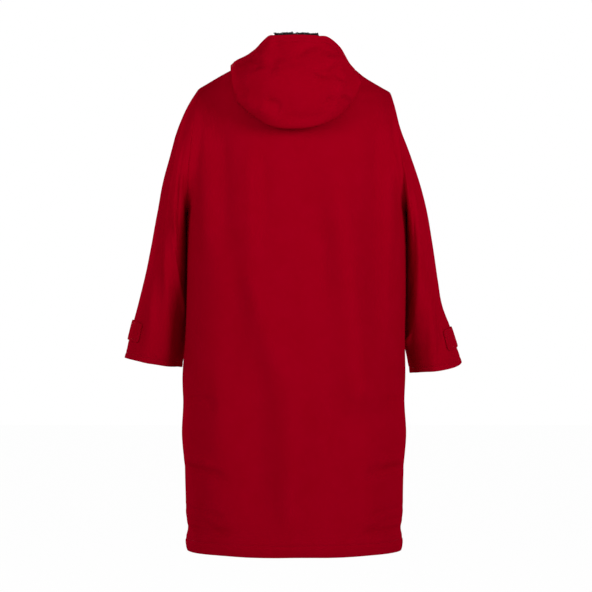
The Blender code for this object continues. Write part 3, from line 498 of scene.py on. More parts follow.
def hood_profile(turn):
    """The hood's section at one turn round the neck, from the seam to the face edge."""
    lean = np.array((math.sin(math.radians(turn)), math.cos(math.radians(turn)), 0.0))
    up = np.array((0.0, 0.0, 1.0))
    seam = neck_points(float(turn))
    points = [seam, seam + lean * STAND_LEAN + up * STAND_RISE]
    for name in ("over", "inner", "bottom", "outer", "edge"):
        out, high = (along(HOOD["turn"], HOOD[name + way], turn) for way in ("_r", "_z"))
        points.append(lean * out + up * high)
    shift = EDGE_SHIFT * max(math.cos(math.radians(turn)), 0.0)
    points[-1][0] += shift
    points[-2][0] += shift * 0.4
    return np.array(points)


def hood_columns(turns, count):
    """The hood's surface: a column for each turn, count even points down the section."""
    columns = []
    for turn in turns:
        knots = hood_profile(turn)
        steps = line_lengths(knots)
        fine = np.linspace(0, steps[-1], count)
        columns.append(np.stack([along(steps, knots[:, axis], fine) for axis in range(3)], -1))
    return np.array(columns)


# ---------------------------------------------------------------- places of the grids' lines

def with_places(plain, extra, near):
    """Grid places, with extra ones put in and the plain ones close to them left out."""
    kept = [place for place in plain if all(abs(place - other) > near for other in extra)]
    return np.array(sorted(kept + list(extra)))


def quarter_places():
    """Across a quarter of the body: fine at the seam, and one at the neck's corner."""
    plain = np.arange(QUARTER_STEPS + 1) / QUARTER_STEPS
    return with_places(plain, (0.0, 0.0045, 0.009, SHOULDER_SHARE, 1.0), 0.004)


def body_places():
    """Heights of the body's rows: fine at the hem's edge and its stitching."""
    plain = np.arange(HEM_Z, UNDERARM_Z, BODY_STEP)
    stitch = HEM_Z + HEM_BAND
    extra = (HEM_Z, stitch - 1.8 * MM, stitch, stitch + 1.8 * MM, UNDERARM_Z)
    return with_places(plain, extra, 1.6 * MM)


def yoke_places():
    """Shares up the yoke, and so round half an armhole."""
    plain = np.arange(YOKE_STEPS + 1) / YOKE_STEPS
    return with_places(plain, (0.0, 0.006, 0.994, 1.0), 0.004)


# ---------------------------------------------------------------- cloth that shares one surface

def lengths_down(points):
    """Length along each column from its first point."""
    steps = np.linalg.norm(np.diff(points, axis=1), axis=2)
    return np.concatenate([np.zeros((len(points), 1)), np.cumsum(steps, axis=1)], axis=1)


def lengths_across(points):
    """Length along each row from the first column."""
    return lengths_down(points.swapaxes(0, 1)).T


def respace(points, near_start, near_end, count):
    """Rows at stated lengths from both ends of each column, and count even ones between."""
    lengths = lengths_down(points)
    columns = []
    for column, steps in zip(points, lengths):
        reach = min(1.0, 0.45 * steps[-1] / max(near_start[-1] + near_end[0], 1e-9))
        start, end = np.array(near_start) * reach, steps[-1] - np.array(near_end) * reach
        middle = np.linspace(start[-1], end[0], count + 2)[1:-1]
        wanted = np.concatenate([start, middle, end])
        columns.append(read_line(steps, column, wanted))
    return np.array(columns)


class Cloth:
    """Panels that share one surface: their grids of points, joined where they meet."""

    def __init__(self):
        self.panels = {}

    def add(self, name, points, flip):
        """A panel's grid of points; flip turns its faces over."""
        self.panels[name] = {"points": points, "flip": flip}

    def join(self):
        """Number the points, those at one place as one."""
        grids = [panel["points"].reshape(-1, 3) for panel in self.panels.values()]
        keys = np.round(np.concatenate(grids) / (0.0131 * MM)).astype(np.int64)
        _, first, index = np.unique(keys, axis=0, return_index=True, return_inverse=True)
        self.points = np.concatenate(grids)[first]
        start = 0
        for panel in self.panels.values():
            shape = panel["points"].shape[:2]
            count = shape[0] * shape[1]
            panel["index"] = index.ravel()[start:start + count].reshape(shape)
            start += count

    def normals(self):
        """Outward directions at the shared points."""
        total = np.zeros_like(self.points)
        for panel in self.panels.values():
            i = panel["index"]
            corners = [i[:-1, :-1], i[1:, :-1], i[1:, 1:], i[:-1, 1:]]
            a, b, c, d = (self.points[corner] for corner in corners)
            face = np.cross(c - a, d - b)
            if panel["flip"]:
                face = -face
            for corner in corners:
                np.add.at(total, corner, face)
        return total / np.maximum(np.linalg.norm(total, axis=1, keepdims=True), 1e-12)

    def lift(self):
        """Move the shared points out by each panel's lift, averaged where panels meet."""
        plain = self.normals()
        total, count = np.zeros(len(self.points)), np.zeros(len(self.points))
        for panel in self.panels.values():
            np.add.at(total, panel["index"], panel["lift"])
            np.add.at(count, panel["index"], 1)
        self.points = self.points + plain * (total / count)[:, None]
        outward = self.normals()
        for panel in self.panels.values():
            panel["points"] = self.points[panel["index"]]
            panel["normals"] = outward[panel["index"]]
            panel["plain"] = plain[panel["index"]]


def folds(rows, a, b):
    """The lift of a table of folds at places a, b of its plane."""
    lift = np.zeros(np.broadcast(a, b).shape)
    for a0, b0, a1, b1, width0, width1, height, bend, skew in rows:
        run = math.hypot(a1 - a0, b1 - b0)
        ta, tb = (a1 - a0) / run, (b1 - b0) / run
        t = ((a - a0) * ta + (b - b0) * tb) / run
        inside = np.clip(t, 0, 1)
        off = (a - a0) * tb - (b - b0) * ta - bend * 4 * inside * (1 - inside)
        width = width0 + (width1 - width0) * inside
        q = off / width
        q = q * (1 + skew * np.tanh(q))
        fade = smooth_step(t, -0.18, 0.22) * smooth_step(-t, -1.18, -0.78)
        lift += height * fade * np.exp(-q * q)
    return lift


def rough(points, scale, seed, stretch=(1, 1, 1)):
    """Smooth noise at each point, about -1 to 1."""
    places = points.reshape(-1, 3) * np.array(stretch) * scale + seed
    values = [noise.noise(Vector(place)) for place in places]
    return np.array(values).reshape(points.shape[:2])


def groove(distance, depth=SEAM_DEPTH, width=SEAM_WIDTH):
    """A seam's valley at a distance from it."""
    return -depth * np.exp(-(distance / width) ** 2)


def undulation(points):
    """The slow unevenness of filled-out cloth, stretched down its length."""
    return (2.2 * MM * rough(points, 11.0, 3.1, (1, 1, 0.32))
            + 0.6 * MM * rough(points, 27.0, 8.7, (1, 1, 0.40))
            + 0.10 * MM * rough(points, 80.0, 5.3, (1, 1, 0.8)))


def open_slot(points, side, share):
    """Draw the cloth near the centre front back to half the zip's slot; share is 1 there."""
    points = points.copy()
    points[..., 0] += (side * ZIP_SLOT / 2 - points[-1, :, 0]) * share
    return points


def body_lift(points, facing):
    """All that moves the body's and yoke's cloth out of the plain form."""
    x, y, z = points[..., 0], points[..., 1], points[..., 2]
    rows = BACK_FOLDS if facing > 0 else FRONT_FOLDS
    facing_out = smooth_step(np.abs(y), *((0.0, 0.045) if facing < 0 else (-0.02, 0.03)))
    lift = (folds(rows, x, z) * facing_out
            + undulation(points) * (1 - 0.75 * smooth_step(z, -0.07, -0.03)))
    lift *= 1 - smooth_step(z, -0.062, -0.040)      # close-set rows on the shoulders stay plain
    dent_x, dent_width, dent_depth = SHOULDER_DENT
    lift -= dent_depth * np.exp(-((x - dent_x) / dent_width) ** 2) * smooth_step(z, -0.052, -0.028)
    under_sleeve = smooth_step(np.abs(x), 0.150, 0.188) * smooth_step(z, -0.60, -0.55)
    lift *= 1 - 0.85 * under_sleeve * smooth_step(-np.abs(y), -0.085, -0.05)
    under_hood = smooth_step(z, -0.14, -0.10) * smooth_step(-np.abs(x), -0.16, -0.12)
    pressed = np.minimum(lift, lift * (1 - under_hood) + 0.4 * MM * under_hood)
    lift = np.where(under_hood > 0, pressed, lift)
    if facing < 0:
        lift *= smooth_step(np.abs(x), 0.012, 0.040)
    above = z - (HEM_Z + HEM_BAND)
    pucker = rough(points, 75.0, 1.7, (1, 1, 0.25))
    lift += 0.9 * MM * pucker * np.exp(-(above / 0.014) ** 2)
    lift += groove(above, 1.0 * MM, 2.0 * MM) + 0.5 * MM * smooth_step(-above, 0.001, 0.006)
    lift -= 0.8 * MM * smooth_step(-z, -HEM_Z - 0.004, -HEM_Z)
    return lift


def make_body(cloth):
    """Back and fronts: grids from the side seam to the middle, rows from hem to top."""
    across, ups, heights = quarter_places(), yoke_places(), body_places()
    quarters = {}
    for side in (1, -1):
        for facing in (1, -1):
            place = turn_on(side, facing, 90 * (1 - across))
            low = body_points(place[:, None], heights[None, :])
            columns = across[:, None]
            high = yoke_points(side, facing, columns, spread_up(columns, ups[None, 1:]))
            quarter = np.concatenate([low, high], axis=1)
            if facing < 0:
                quarter = open_slot(quarter, side, smooth_step(across, 0.72, 1.0)[:, None])
            quarters[side, facing] = quarter
    back = np.concatenate([quarters[-1, 1], quarters[1, 1][-2::-1]])
    cloth.add("back", back, True)
    cloth.add("front_left", quarters[1, -1], True)
    cloth.add("front_right", quarters[-1, -1][::-1], True)
    for name, facing in (("back", 1), ("front_left", -1), ("front_right", -1)):
        panel = cloth.panels[name]
        points = panel["points"]
        lift = body_lift(points, facing)
        across_it = lengths_across(points)
        down_it = lengths_down(points)
        seams = []
        if name != "front_right":
            seams.append(across_it)
        if name != "front_left":
            seams.append(across_it[-1:] - across_it)
        for distance in seams + [down_it[:, -1:] - down_it]:
            lift += groove(distance)
        panel["lift"] = lift
    return ups


def make_sleeves(cloth, ups):
    """Both sleeves, closed round from the outer line by the back."""
    half = 180 * (1 - ups[::-1])
    turns = np.concatenate([half, 360 - half[-2::-1]])
    near_start = (0.0, 1.3 * MM, 2.8 * MM)
    near_end = tuple(place * MM for place in (14, 11.6, 10, 8.4, 5.5, 2.5, 0.8, 0))
    for side, name, rows in ((1, "sleeve_left", LEFT_SLEEVE_FOLDS),
                             (-1, "sleeve_right", RIGHT_SLEEVE_FOLDS)):
        fine = sleeve_points(side, turns[:, None], np.linspace(0, 1, 400)[None, :])
        points = respace(fine, near_start, near_end, SLEEVE_STEPS)
        down_it, across_it = lengths_down(points), lengths_across(points)
        arc = turns[:, None] / 360 * across_it[-1:]
        lift = folds(rows, arc, down_it) + undulation(points) * smooth_step(down_it, 0.0, 0.08)
        from_inner = np.abs(turns[:, None] - 180) + 0 * down_it
        lift *= 0.15 + 0.85 * smooth_step(from_inner, 12, 34)
        left = down_it[:, -1:] - down_it
        signed = np.where(turns > 180, turns - 360, turns)[:, None]
        at_tab = (smooth_step(-left, -0.095, -0.075) * smooth_step(left, 0.018, 0.030)
                  * smooth_step(signed, TAB_TURNS[1] - 10, TAB_TURNS[1])
                  * smooth_step(-signed, -TAB_TURNS[0] - 10, -TAB_TURNS[0]))
        lift *= 1 - 0.95 * at_tab
        pucker = rough(points, 85.0, 2.9, (1, 1, 0.3))
        above = left - CUFF_BAND
        lift += 0.5 * MM * pucker * np.exp(-(above / 0.010) ** 2) * (1 - at_tab)
        lift += groove(above, 0.8 * MM, 1.8 * MM)
        lift += groove(down_it) + groove(np.abs(from_inner) / 360 * across_it[-1:], 0.8 * MM)
        cloth.add(name, points, side > 0)
        cloth.panels[name]["lift"] = lift


def make_hood(cloth):
    """The hood's three panels, cut from one surface at the gusset's two seams."""
    plain = np.arange(-180.0, 180.0 + HOOD_TURN_STEP / 2, HOOD_TURN_STEP)
    extra = [s * GUSSET_TURN + e for s in (-1, 1) for e in (-0.8, 0.0, 0.8)]
    turns = with_places(plain, extra, 0.5)
    near_end = tuple(place * MM for place in (16, 13.6, 12, 10.4, 7.6, 6, 4.4, 2.2, 0.8, 0))
    points = respace(hood_columns(turns, 400), (0.0, 1.2 * MM), near_end, HOOD_STEPS)
    front = smooth_step(np.abs(turns), 150.0, 180.0)[:, None] * np.sign(turns)[:, None]
    points[..., 0] += ZIP_SLOT / 2 * front
    x, z = points[..., 0], points[..., 2]
    down_it = lengths_down(points)
    left = down_it[:, -1:] - down_it
    outside = (smooth_step(points[..., 1], 0.08, 0.11)
               * smooth_step(down_it / down_it[:, -1:], 0.52, 0.64))
    lift = folds(HOOD_FOLDS, x, z) * outside
    lift += (1.1 * MM * rough(points, 24.0, 4.4) + 0.5 * MM * rough(points, 60.0, 6.1)) * (
        0.35 + 0.65 * outside)
    for line in (HOOD_BAND, HOOD_BAND / 2):
        lift += groove(left - line, 0.6 * MM, 1.5 * MM)
    lift += 0.7 * MM * rough(points, 80.0, 9.2) * np.exp(-((left - HOOD_BAND) / 0.012) ** 2)
    for side in (-1, 1):
        off = np.radians(turns[:, None] - side * GUSSET_TURN) * np.hypot(x, points[..., 1])
        lift += groove(off, (0.10 if side > 0 else 0.22) * MM, 2.6 * MM)
    low = int(np.argmin(np.abs(turns + GUSSET_TURN)))
    high = int(np.argmin(np.abs(turns - GUSSET_TURN)))
    for name, first, last in (("hood_right", 0, low), ("hood_centre", low, high),
                              ("hood_left", high, len(turns) - 1)):
        cloth.add(name, points[first:last + 1], True)
        cloth.panels[name]["lift"] = lift[first:last + 1]


# ---------------------------------------------------------------- meshes

def quads(first, second, third, fourth, flip):
    """Faces from four arrays of point numbers."""
    faces = np.stack([first, second, third, fourth], -1).reshape(-1, 4)
    return faces[:, ::-1] if flip else faces


def add_mesh(name, points, faces, materials, slots=None, uv=None):
    """An object from points and faces, smooth shaded, riding on the robe."""
    mesh = bpy.data.meshes.new(name)
    mesh.from_pydata(points.tolist(), [], faces.tolist() if isinstance(faces, np.ndarray) else faces)
    for material in materials:
        mesh.materials.append(material)
    if slots is not None:
        mesh.polygons.foreach_set("material_index", np.asarray(slots, np.int32))
    mesh.polygons.foreach_set("use_smooth", np.ones(len(mesh.polygons), bool))
    if uv is not None:
        layer = mesh.uv_layers.new(name="cloth")
        corner = np.zeros(len(mesh.loops), np.int32)
        mesh.loops.foreach_get("vertex_index", corner)
        layer.data.foreach_set("uv", uv[corner].astype(np.float32).ravel())
    mesh.update()
    piece = bpy.data.objects.new(name, mesh)
    bpy.context.scene.collection.objects.link(piece)
    return piece


def shell(name, points, normals, wall, flip, materials,
          closed=False, inner_lift=None, turned=None, gap=SEAM_GAP):
    """A closed wall from a grid: outer layer, inner layer and rounded edges all round.

    materials are the outer and the inner finish. turned marks inner places that have the
    outer finish, as where a hem is folded in."""
    points = points.copy()
    pull = gap / 2
    edges = [(np.s_[:, 0], np.s_[:, 1]), (np.s_[:, -1], np.s_[:, -2])]
    if not closed:
        edges += [(np.s_[0, :], np.s_[1, :]), (np.s_[-1, :], np.s_[-2, :])]
    for edge, inside in edges:
        points[edge] += unit(points[inside] - points[edge]) * pull
    if closed:
        points, normals = points[:-1], normals[:-1]
        inner_lift = None if inner_lift is None else inner_lift[:-1]
        turned = None if turned is None else turned[:-1]
    columns, rows = points.shape[:2]
    inner = points - normals * (wall if inner_lift is None else wall + inner_lift[..., None])
    number = np.arange(columns * rows).reshape(columns, rows)
    far = number + columns * rows
    if closed:
        number, far = np.vstack([number, number[:1]]), np.vstack([far, far[:1]])
    faces = [quads(number[:-1, :-1], number[1:, :-1], number[1:, 1:], number[:-1, 1:], flip),
             quads(far[:-1, :-1], far[1:, :-1], far[1:, 1:], far[:-1, 1:], not flip)]
    kinds = [np.zeros(len(faces[0]), int)]
    inner_kind = np.ones(len(faces[1]), int)
    if turned is not None:
        marks = np.vstack([turned, turned[:1]]) if closed else turned
        inner_kind = np.where(marks[:-1, :-1].ravel() & marks[1:, 1:].ravel(), 0, 1)
    kinds.append(inner_kind)
    all_points = [points.reshape(-1, 3), inner.reshape(-1, 3)]
    count = 2 * columns * rows
    rims = [(number[:, 0], far[:, 0], points[:, 0] - points[:, 1], not flip),
            (number[:, -1], far[:, -1], points[:, -1] - points[:, -2], flip)]
    if not closed:
        rims += [(number[0], far[0], points[0] - points[1], flip),
                 (number[-1], far[-1], points[-1] - points[-2], not flip)]
    flat = np.concatenate(all_points)
    for near, other, outward, turned_round in rims:
        outward = unit(outward)
        length = len(near) - (1 if closed else 0)
        middle = (flat[near[:length]] + flat[other[:length]]) / 2 + outward[:length] * pull * 0.8
        all_points.append(middle)
        ring = np.arange(count, count + length)
        count += length
        if closed:
            ring = np.append(ring, ring[0])
        for one, two in ((near, ring), (ring, other)):
            made = quads(one[:-1], one[1:], two[1:], two[:-1], turned_round)
            faces.append(made)
            kinds.append(np.zeros(len(made), int))
    across_it, down_it = lengths_across(points), lengths_down(points)
    uv = np.stack([across_it, down_it], -1).reshape(-1, 2)
    spare = count - 2 * len(uv)
    uv = np.concatenate([uv, uv, np.zeros((spare, 2))])
    piece = add_mesh(name, np.concatenate(all_points), np.concatenate(faces), materials,
                     np.concatenate(kinds), uv)
    border = np.zeros(count, int)
    for near, other, _, _ in rims:
        border[near], border[other] = 1, 2
    ends = np.zeros(2 * len(piece.data.edges), np.int32)
    piece.data.edges.foreach_get("vertices", ends)
    kind = border[ends.reshape(-1, 2)]
    sharp = (kind[:, 0] == kind[:, 1]) & (kind[:, 0] > 0)
    piece.data.edges.foreach_set("use_edge_sharp", sharp)
    return piece


# ---------------------------------------------------------------- stitches and lines on the cloth

def tube(path, radius, sides=4):
    """Points and faces of a thin round rod along a path, drawn to a point at both ends."""
    path = np.asarray(path)
    along_it = unit(np.gradient(path, axis=0))
    aside = unit(np.cross(along_it, (0.31, 0.47, 0.83)))
    other = np.cross(along_it, aside)
    angles = np.arange(sides) * 2 * math.pi / sides
    rings = (path[:, None] + radius * (aside[:, None] * np.cos(angles)[:, None]
                                       + other[:, None] * np.sin(angles)[:, None]))
    end = radius * 0.8
    tips = [path[0] - along_it[0] * end, path[-1] + along_it[-1] * end]
    points = np.concatenate([rings.reshape(-1, 3), tips])
    faces = []
    count = len(path)
    for i in range(count - 1):
        for k in range(sides):
            a, b = i * sides + k, i * sides + (k + 1) % sides
            faces.append((a, b, b + sides, a + sides))
    first, last = count * sides, count * sides + 1
    for k in range(sides):
        faces.append((first, (k + 1) % sides, k))
        faces.append((last, (count - 1) * sides + k, (count - 1) * sides + (k + 1) % sides))
    return points, faces


def join_all(name, parts, material):
    """One object from many small meshes, each its points and faces."""
    points, faces, start = [], [], 0
    for some_points, some_faces in parts:
        points.append(some_points)
        faces += [tuple(start + corner for corner in face) for face in some_faces]
        start += len(some_points)
    return add_mesh(name, np.concatenate(points), faces, (material,))


def stitches(line, normals, closed=False, lift=0.12 * MM):
    """Sewn stitches along a line on the cloth, each bowed a little into it at its ends."""
    if closed:
        line, normals = np.concatenate([line, line[:1]]), np.concatenate([normals, normals[:1]])
    steps = line_lengths(line)
    count = max(int(steps[-1] / STITCH_PITCH), 1)
    made = []
    for i in range(count):
        middle = (i + 0.5) / count * steps[-1]
        places = middle + np.array((-0.5, -0.17, 0.17, 0.5)) * STITCH[0]
        if places[0] < 0 or places[-1] > steps[-1]:
            continue
        path, out = read_line(steps, line, places), read_line(steps, normals, places)
        path += out * (np.array((-0.5, 1.0, 1.0, -0.5)) * lift)[:, None]
        made.append(tube(path, STITCH[1]))
    return made


def line_from_end(points, normals, distance):
    """The line on a grid at a length from the end of its columns."""
    lengths = lengths_down(points)
    line, out = [], []
    for column, normal, steps in zip(points, normals, lengths):
        place = steps[-1] - distance
        line.append(read_line(steps, column, place))
        out.append(read_line(steps, normal, place))
    return np.array(line), np.array(out)


def soften(grid, passes):
    """Even out a grid of points without moving its edges."""
    for _ in range(passes):
        grid = grid.copy()
        grid[1:-1] = (grid[:-2] + 2 * grid[1:-1] + grid[2:]) / 4
        grid[:, 1:-1] = (grid[:, :-2] + 2 * grid[:, 1:-1] + grid[:, 2:]) / 4
    return grid


def grid_normals(points, flip):
    """Outward directions of one grid of points."""
    across_it, down_it = np.gradient(points, axis=0), np.gradient(points, axis=1)
    return unit(np.cross(across_it, down_it) * (-1 if flip else 1))


# ---------------------------------------------------------------- materials

def new_material(name, color, roughness, metallic=0.0, **inputs):
    """A Principled material and its nodes, with some of the shader's other inputs set."""
    material = bpy.data.materials.new(name)
    material.use_nodes = True
    shader = material.node_tree.nodes["Principled BSDF"]
    shader.inputs["Base Color"].default_value = (*color, 1.0)
    shader.inputs["Roughness"].default_value = roughness
    shader.inputs["Metallic"].default_value = metallic
    for key, value in inputs.items():
        shader.inputs[key.replace("_", " ")].default_value = value
    return material, material.node_tree, shader


def node(tree, kind, **inputs):
    """A shader node with some of its inputs set."""
    made = tree.nodes.new(kind)
    for key, value in inputs.items():
        made.inputs[key.replace("_", " ")].default_value = value
    return made


def texture(tree, kind, place, **inputs):
    """A texture node that reads a place socket."""
    made = node(tree, kind, **inputs)
    tree.links.new(place, made.inputs["Vector"])
    return made


def object_place(tree):
    """The socket of places in the object's own frame."""
    return tree.nodes.new("ShaderNodeTexCoord").outputs["Object"]


def math_node(tree, operation, first, second):
    """A Math node; first and second are sockets or numbers."""
    made = tree.nodes.new("ShaderNodeMath")
    made.operation = operation
    for socket, value in zip(made.inputs, (first, second)):
        if isinstance(value, (int, float)):
            socket.default_value = value
        else:
            tree.links.new(value, socket)
    return made.outputs[0]


def vary_color(tree, shader, place, dark, light, scale, detail=4.0):
    """Base colour that wanders between two shades."""
    spots = texture(tree, "ShaderNodeTexNoise", place, Scale=scale, Detail=detail, Roughness=0.6)
    ramp = tree.nodes.new("ShaderNodeValToRGB")
    for element, position, shade in zip(ramp.color_ramp.elements, (0.32, 0.68), (dark, light)):
        element.position = position
        element.color = (*shade, 1.0)
    tree.links.new(spots.outputs["Fac"], ramp.inputs["Fac"])
    tree.links.new(ramp.outputs["Color"], shader.inputs["Base Color"])


def bump(tree, height, distance, strength, below=None):
    """A bump of a height socket, on top of another bump."""
    made = node(tree, "ShaderNodeBump", Strength=strength, Distance=distance)
    tree.links.new(height, made.inputs["Height"])
    if below is not None:
        tree.links.new(below, made.inputs["Normal"])
    return made.outputs["Normal"]


SHELL_DARK = (0.306, 0.0, 0.0082)
SHELL_LIGHT = (0.320, 0.0, 0.0096)
WEAVE_PITCH = 0.9 * MM


def shell_cloth():
    """Closely woven matt red shell cloth: fine weave, small creases, a faint sheen."""
    material, tree, shader = new_material(
        "shell_cloth", SHELL_LIGHT, 0.62, Specular_IOR_Level=0.0, Sheen_Weight=0.05,
        Sheen_Roughness=0.4, Sheen_Tint=(1.0, 0.0, 0.02, 1.0))
    place = object_place(tree)
    vary_color(tree, shader, place, SHELL_DARK, SHELL_LIGHT, 26.0)
    parts = tree.nodes.new("ShaderNodeSeparateXYZ")
    uv = tree.nodes.new("ShaderNodeUVMap")
    uv.uv_map = "cloth"
    tree.links.new(uv.outputs["UV"], parts.inputs["Vector"])
    turn = 2 * math.pi / WEAVE_PITCH
    warp, weft = (math_node(tree, "SINE", math_node(tree, "MULTIPLY", parts.outputs[way], turn), 0.0)
                  for way in "XY")
    weave = math_node(tree, "MULTIPLY", warp, weft)
    creases = texture(tree, "ShaderNodeTexNoise", place,
                      Scale=150.0, Detail=3.0, Roughness=0.55, Distortion=0.4)
    soft = bump(tree, creases.outputs["Fac"], 0.8 * MM, 0.15)
    tree.links.new(bump(tree, weave, 0.04 * MM, 0.6, soft), shader.inputs["Normal"])
    return material


def pile_cloth():
    """Charcoal curly pile."""
    material, tree, shader = new_material(
        "pile", (0.008, 0.006, 0.007), 0.95, Specular_IOR_Level=0.02, Sheen_Weight=0.01,
        Sheen_Roughness=0.6, Sheen_Tint=(0.30, 0.30, 0.34, 1.0))
    place = object_place(tree)
    vary_color(tree, shader, place, (0.003, 0.0025, 0.003), (0.016, 0.013, 0.015), 180.0, 3.0)
    curls = texture(tree, "ShaderNodeTexVoronoi", place, Scale=260.0, Randomness=1.0)
    hairs = texture(tree, "ShaderNodeTexNoise", place, Scale=700.0, Detail=4.0, Roughness=0.7)
    soft = bump(tree, curls.outputs["Distance"], 1.6 * MM, 0.8)
    tree.links.new(bump(tree, hairs.outputs["Fac"], 0.6 * MM, 0.7, soft), shader.inputs["Normal"])
    return material


def thread():
    """Matt red sewing thread, a little darker than the cloth."""
    return new_material("thread", (0.26, 0.0004, 0.0080), 0.7, Specular_IOR_Level=0.05)[0]


def tape_cloth():
    """Black ribbed zip tape."""
    material, tree, shader = new_material("zip_tape", (0.014, 0.014, 0.016), 0.85,
                                          Specular_IOR_Level=0.2)
    ribs = texture(tree, "ShaderNodeTexWave", object_place(tree), Scale=420.0, Distortion=0.0)
    ribs.bands_direction = "Z"
    tree.links.new(bump(tree, ribs.outputs["Fac"], 0.15 * MM, 0.5), shader.inputs["Normal"])
    return material


def plain(name, color, roughness, metallic=0.0):
    """Moulded plastic or cast metal with a slightly uneven finish."""
    material, tree, shader = new_material(name, color, roughness, metallic)
    grain = texture(tree, "ShaderNodeTexNoise", object_place(tree), Scale=900.0, Detail=3.0)
    tree.links.new(bump(tree, grain.outputs["Fac"], 0.05 * MM, 0.25), shader.inputs["Normal"])
    return material


SHELL = shell_cloth()
PILE = pile_cloth()
THREAD = thread()
TAPE = tape_cloth()
TEETH = plain("teeth", (0.015, 0.015, 0.017), 0.38)
METAL = plain("dark_metal", (0.16, 0.16, 0.17), 0.32, 1.0)

# ---------------------------------------------------------------- the cloth pieces

ROBE = "robe"


def pile_rise(points, height):
    """How unevenly the pile stands off the cloth's inside."""
    return height * (0.55 * rough(points, 210.0, 12.0) + 0.45 * rough(points, 95.0, 15.0))


def mounted(piece):
    """A piece that rides on the robe, such as a row of stitches."""
    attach(piece, ROBE)


def dress(piece, node_name):
    """A piece that rides on the robe and stands for one node of the part."""
    mounted(piece)
    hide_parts(node_name)


def lined_piece(name, from_edge, band, thin, closed=False):
    """A body or sleeve panel with pile inside it from its turned-in band on.

    from_edge is each place's distance from the band's edge, thin the heights between which
    the pile gets thinner."""
    panel = body_cloth.panels[name]
    x, _, z = np.moveaxis(panel["points"], -1, 0)
    rise = pile_rise(panel["points"], 1.0 * MM) * smooth_step(from_edge, band, band + 8 * MM)
    rise -= PILE_THIN * smooth_step(z, *thin)
    if name.startswith("front"):
        rise *= smooth_step(np.abs(x), 0.021, 0.032)
    return shell(name + "_cloth", panel["points"], panel["plain"], WALL, panel["flip"], (SHELL, PILE),
                 closed=closed, inner_lift=rise, turned=from_edge < band + 3 * MM)


body_cloth = Cloth()
yoke_ups = make_body(body_cloth)
make_sleeves(body_cloth, yoke_ups)
body_cloth.join()
body_cloth.lift()

hood_cloth = Cloth()
make_hood(hood_cloth)
hood_cloth.join()
hood_cloth.lift()

BODY_PANELS = ("back", "front_left", "front_right")
SLEEVE_PANELS = ("sleeve_left", "sleeve_right")

pieces = {}
for panel_name in BODY_PANELS:
    above_hem = body_cloth.panels[panel_name]["points"][..., 2] - HEM_Z
    pieces[panel_name] = lined_piece(panel_name, above_hem, HEM_BAND, (-0.10, -0.05))
for panel_name in SLEEVE_PANELS:
    down_sleeve = lengths_down(body_cloth.panels[panel_name]["points"])
    pieces[panel_name] = lined_piece(panel_name, down_sleeve[:, -1:] - down_sleeve, CUFF_BAND,
                                     (-0.35, -0.25), closed=True)
for panel_name in ("hood_left", "hood_centre", "hood_right"):
    panel = hood_cloth.panels[panel_name]
    pieces[panel_name] = shell(panel_name + "_cloth", panel["points"], panel["plain"], HOOD_WALL,
                               panel["flip"], (SHELL, SHELL), gap=0.02 * MM)
for panel_name, piece in pieces.items():
    dress(piece, panel_name)


def whole_hood():
    """The lifted hood surface as one grid, round from one front edge to the other."""
    first, *others = (hood_cloth.panels[name] for name in ("hood_right", "hood_centre", "hood_left"))
    return [np.concatenate([first[key]] + [panel[key][1:] for panel in others])
            for key in ("points", "normals")]


def shown_pile(places):
    """1 where the pile stands above the face edge, 0 where the shell's edge hides it."""
    x, y = places[..., 0], places[..., 1]
    return smooth_step(y, *RISE_Y) * smooth_step(x, -0.052, -0.044) * smooth_step(-x, -0.042, -0.034)


def make_lining():
    """The pile inside the hood: one piece a gap inside the shell, past the edge at the back."""
    points, normals = whole_hood()
    base = soften(points - normals * (HOOD_WALL + LINING_GAP), 3)
    hidden = 1 - shown_pile(base[:, -1])
    lengths = lengths_down(base)
    for column in range(len(base)):
        steps = lengths[column]
        short = 1 - min(LINING_SHORT * hidden[column] / steps[-1], 0.3)
        base[column] = read_line(steps, base[column], steps * short)
    onward = unit(base[:, -1] - base[:, -3])
    clumps = 0.62 + 0.55 * rough(base[:, -1:], 115.0, 33.0)[:, 0]
    rise = 0.6 * MM + np.clip(LINING_RISE * clumps - 0.6 * MM, 0, None) * shown_pile(base[:, -1])
    extra = [base[:, -1] + onward * (rise * share)[:, None] for share in (0.4, 0.75, 1.0)]
    base = np.concatenate([base] + [row[:, None] for row in extra], axis=1)
    inset = LINING_INSET - SEAM_GAP / 2
    for edge, inside in ((np.s_[:, 0], np.s_[:, 1]), (np.s_[0, :], np.s_[1, :]),
                         (np.s_[-1, :], np.s_[-2, :])):
        away = base[inside] - base[edge]
        length = np.linalg.norm(away, axis=-1, keepdims=True)
        base[edge] += away * (np.minimum(inset, 0.8 * length) / length)
    out = grid_normals(base, True)
    left = lengths_down(base)[:, -1:] - lengths_down(base)
    thin = hidden[:, None] * smooth_step(-left, -0.016, -0.003)
    fluff = pile_rise(base, 1.1 * MM) * (1 - thin) - 1.8 * MM * thin
    edge_rough = 0.7 * MM * rough(base, 300.0, 21.0) * smooth_step(-left, -0.004, -0.001)
    outer = base + out * edge_rough[..., None]
    piece = shell("hood_lining_pile", outer, out, LINING_WALL, True, (PILE, PILE), inner_lift=fluff)
    dress(piece, "hood_lining")
    return piece, base, out


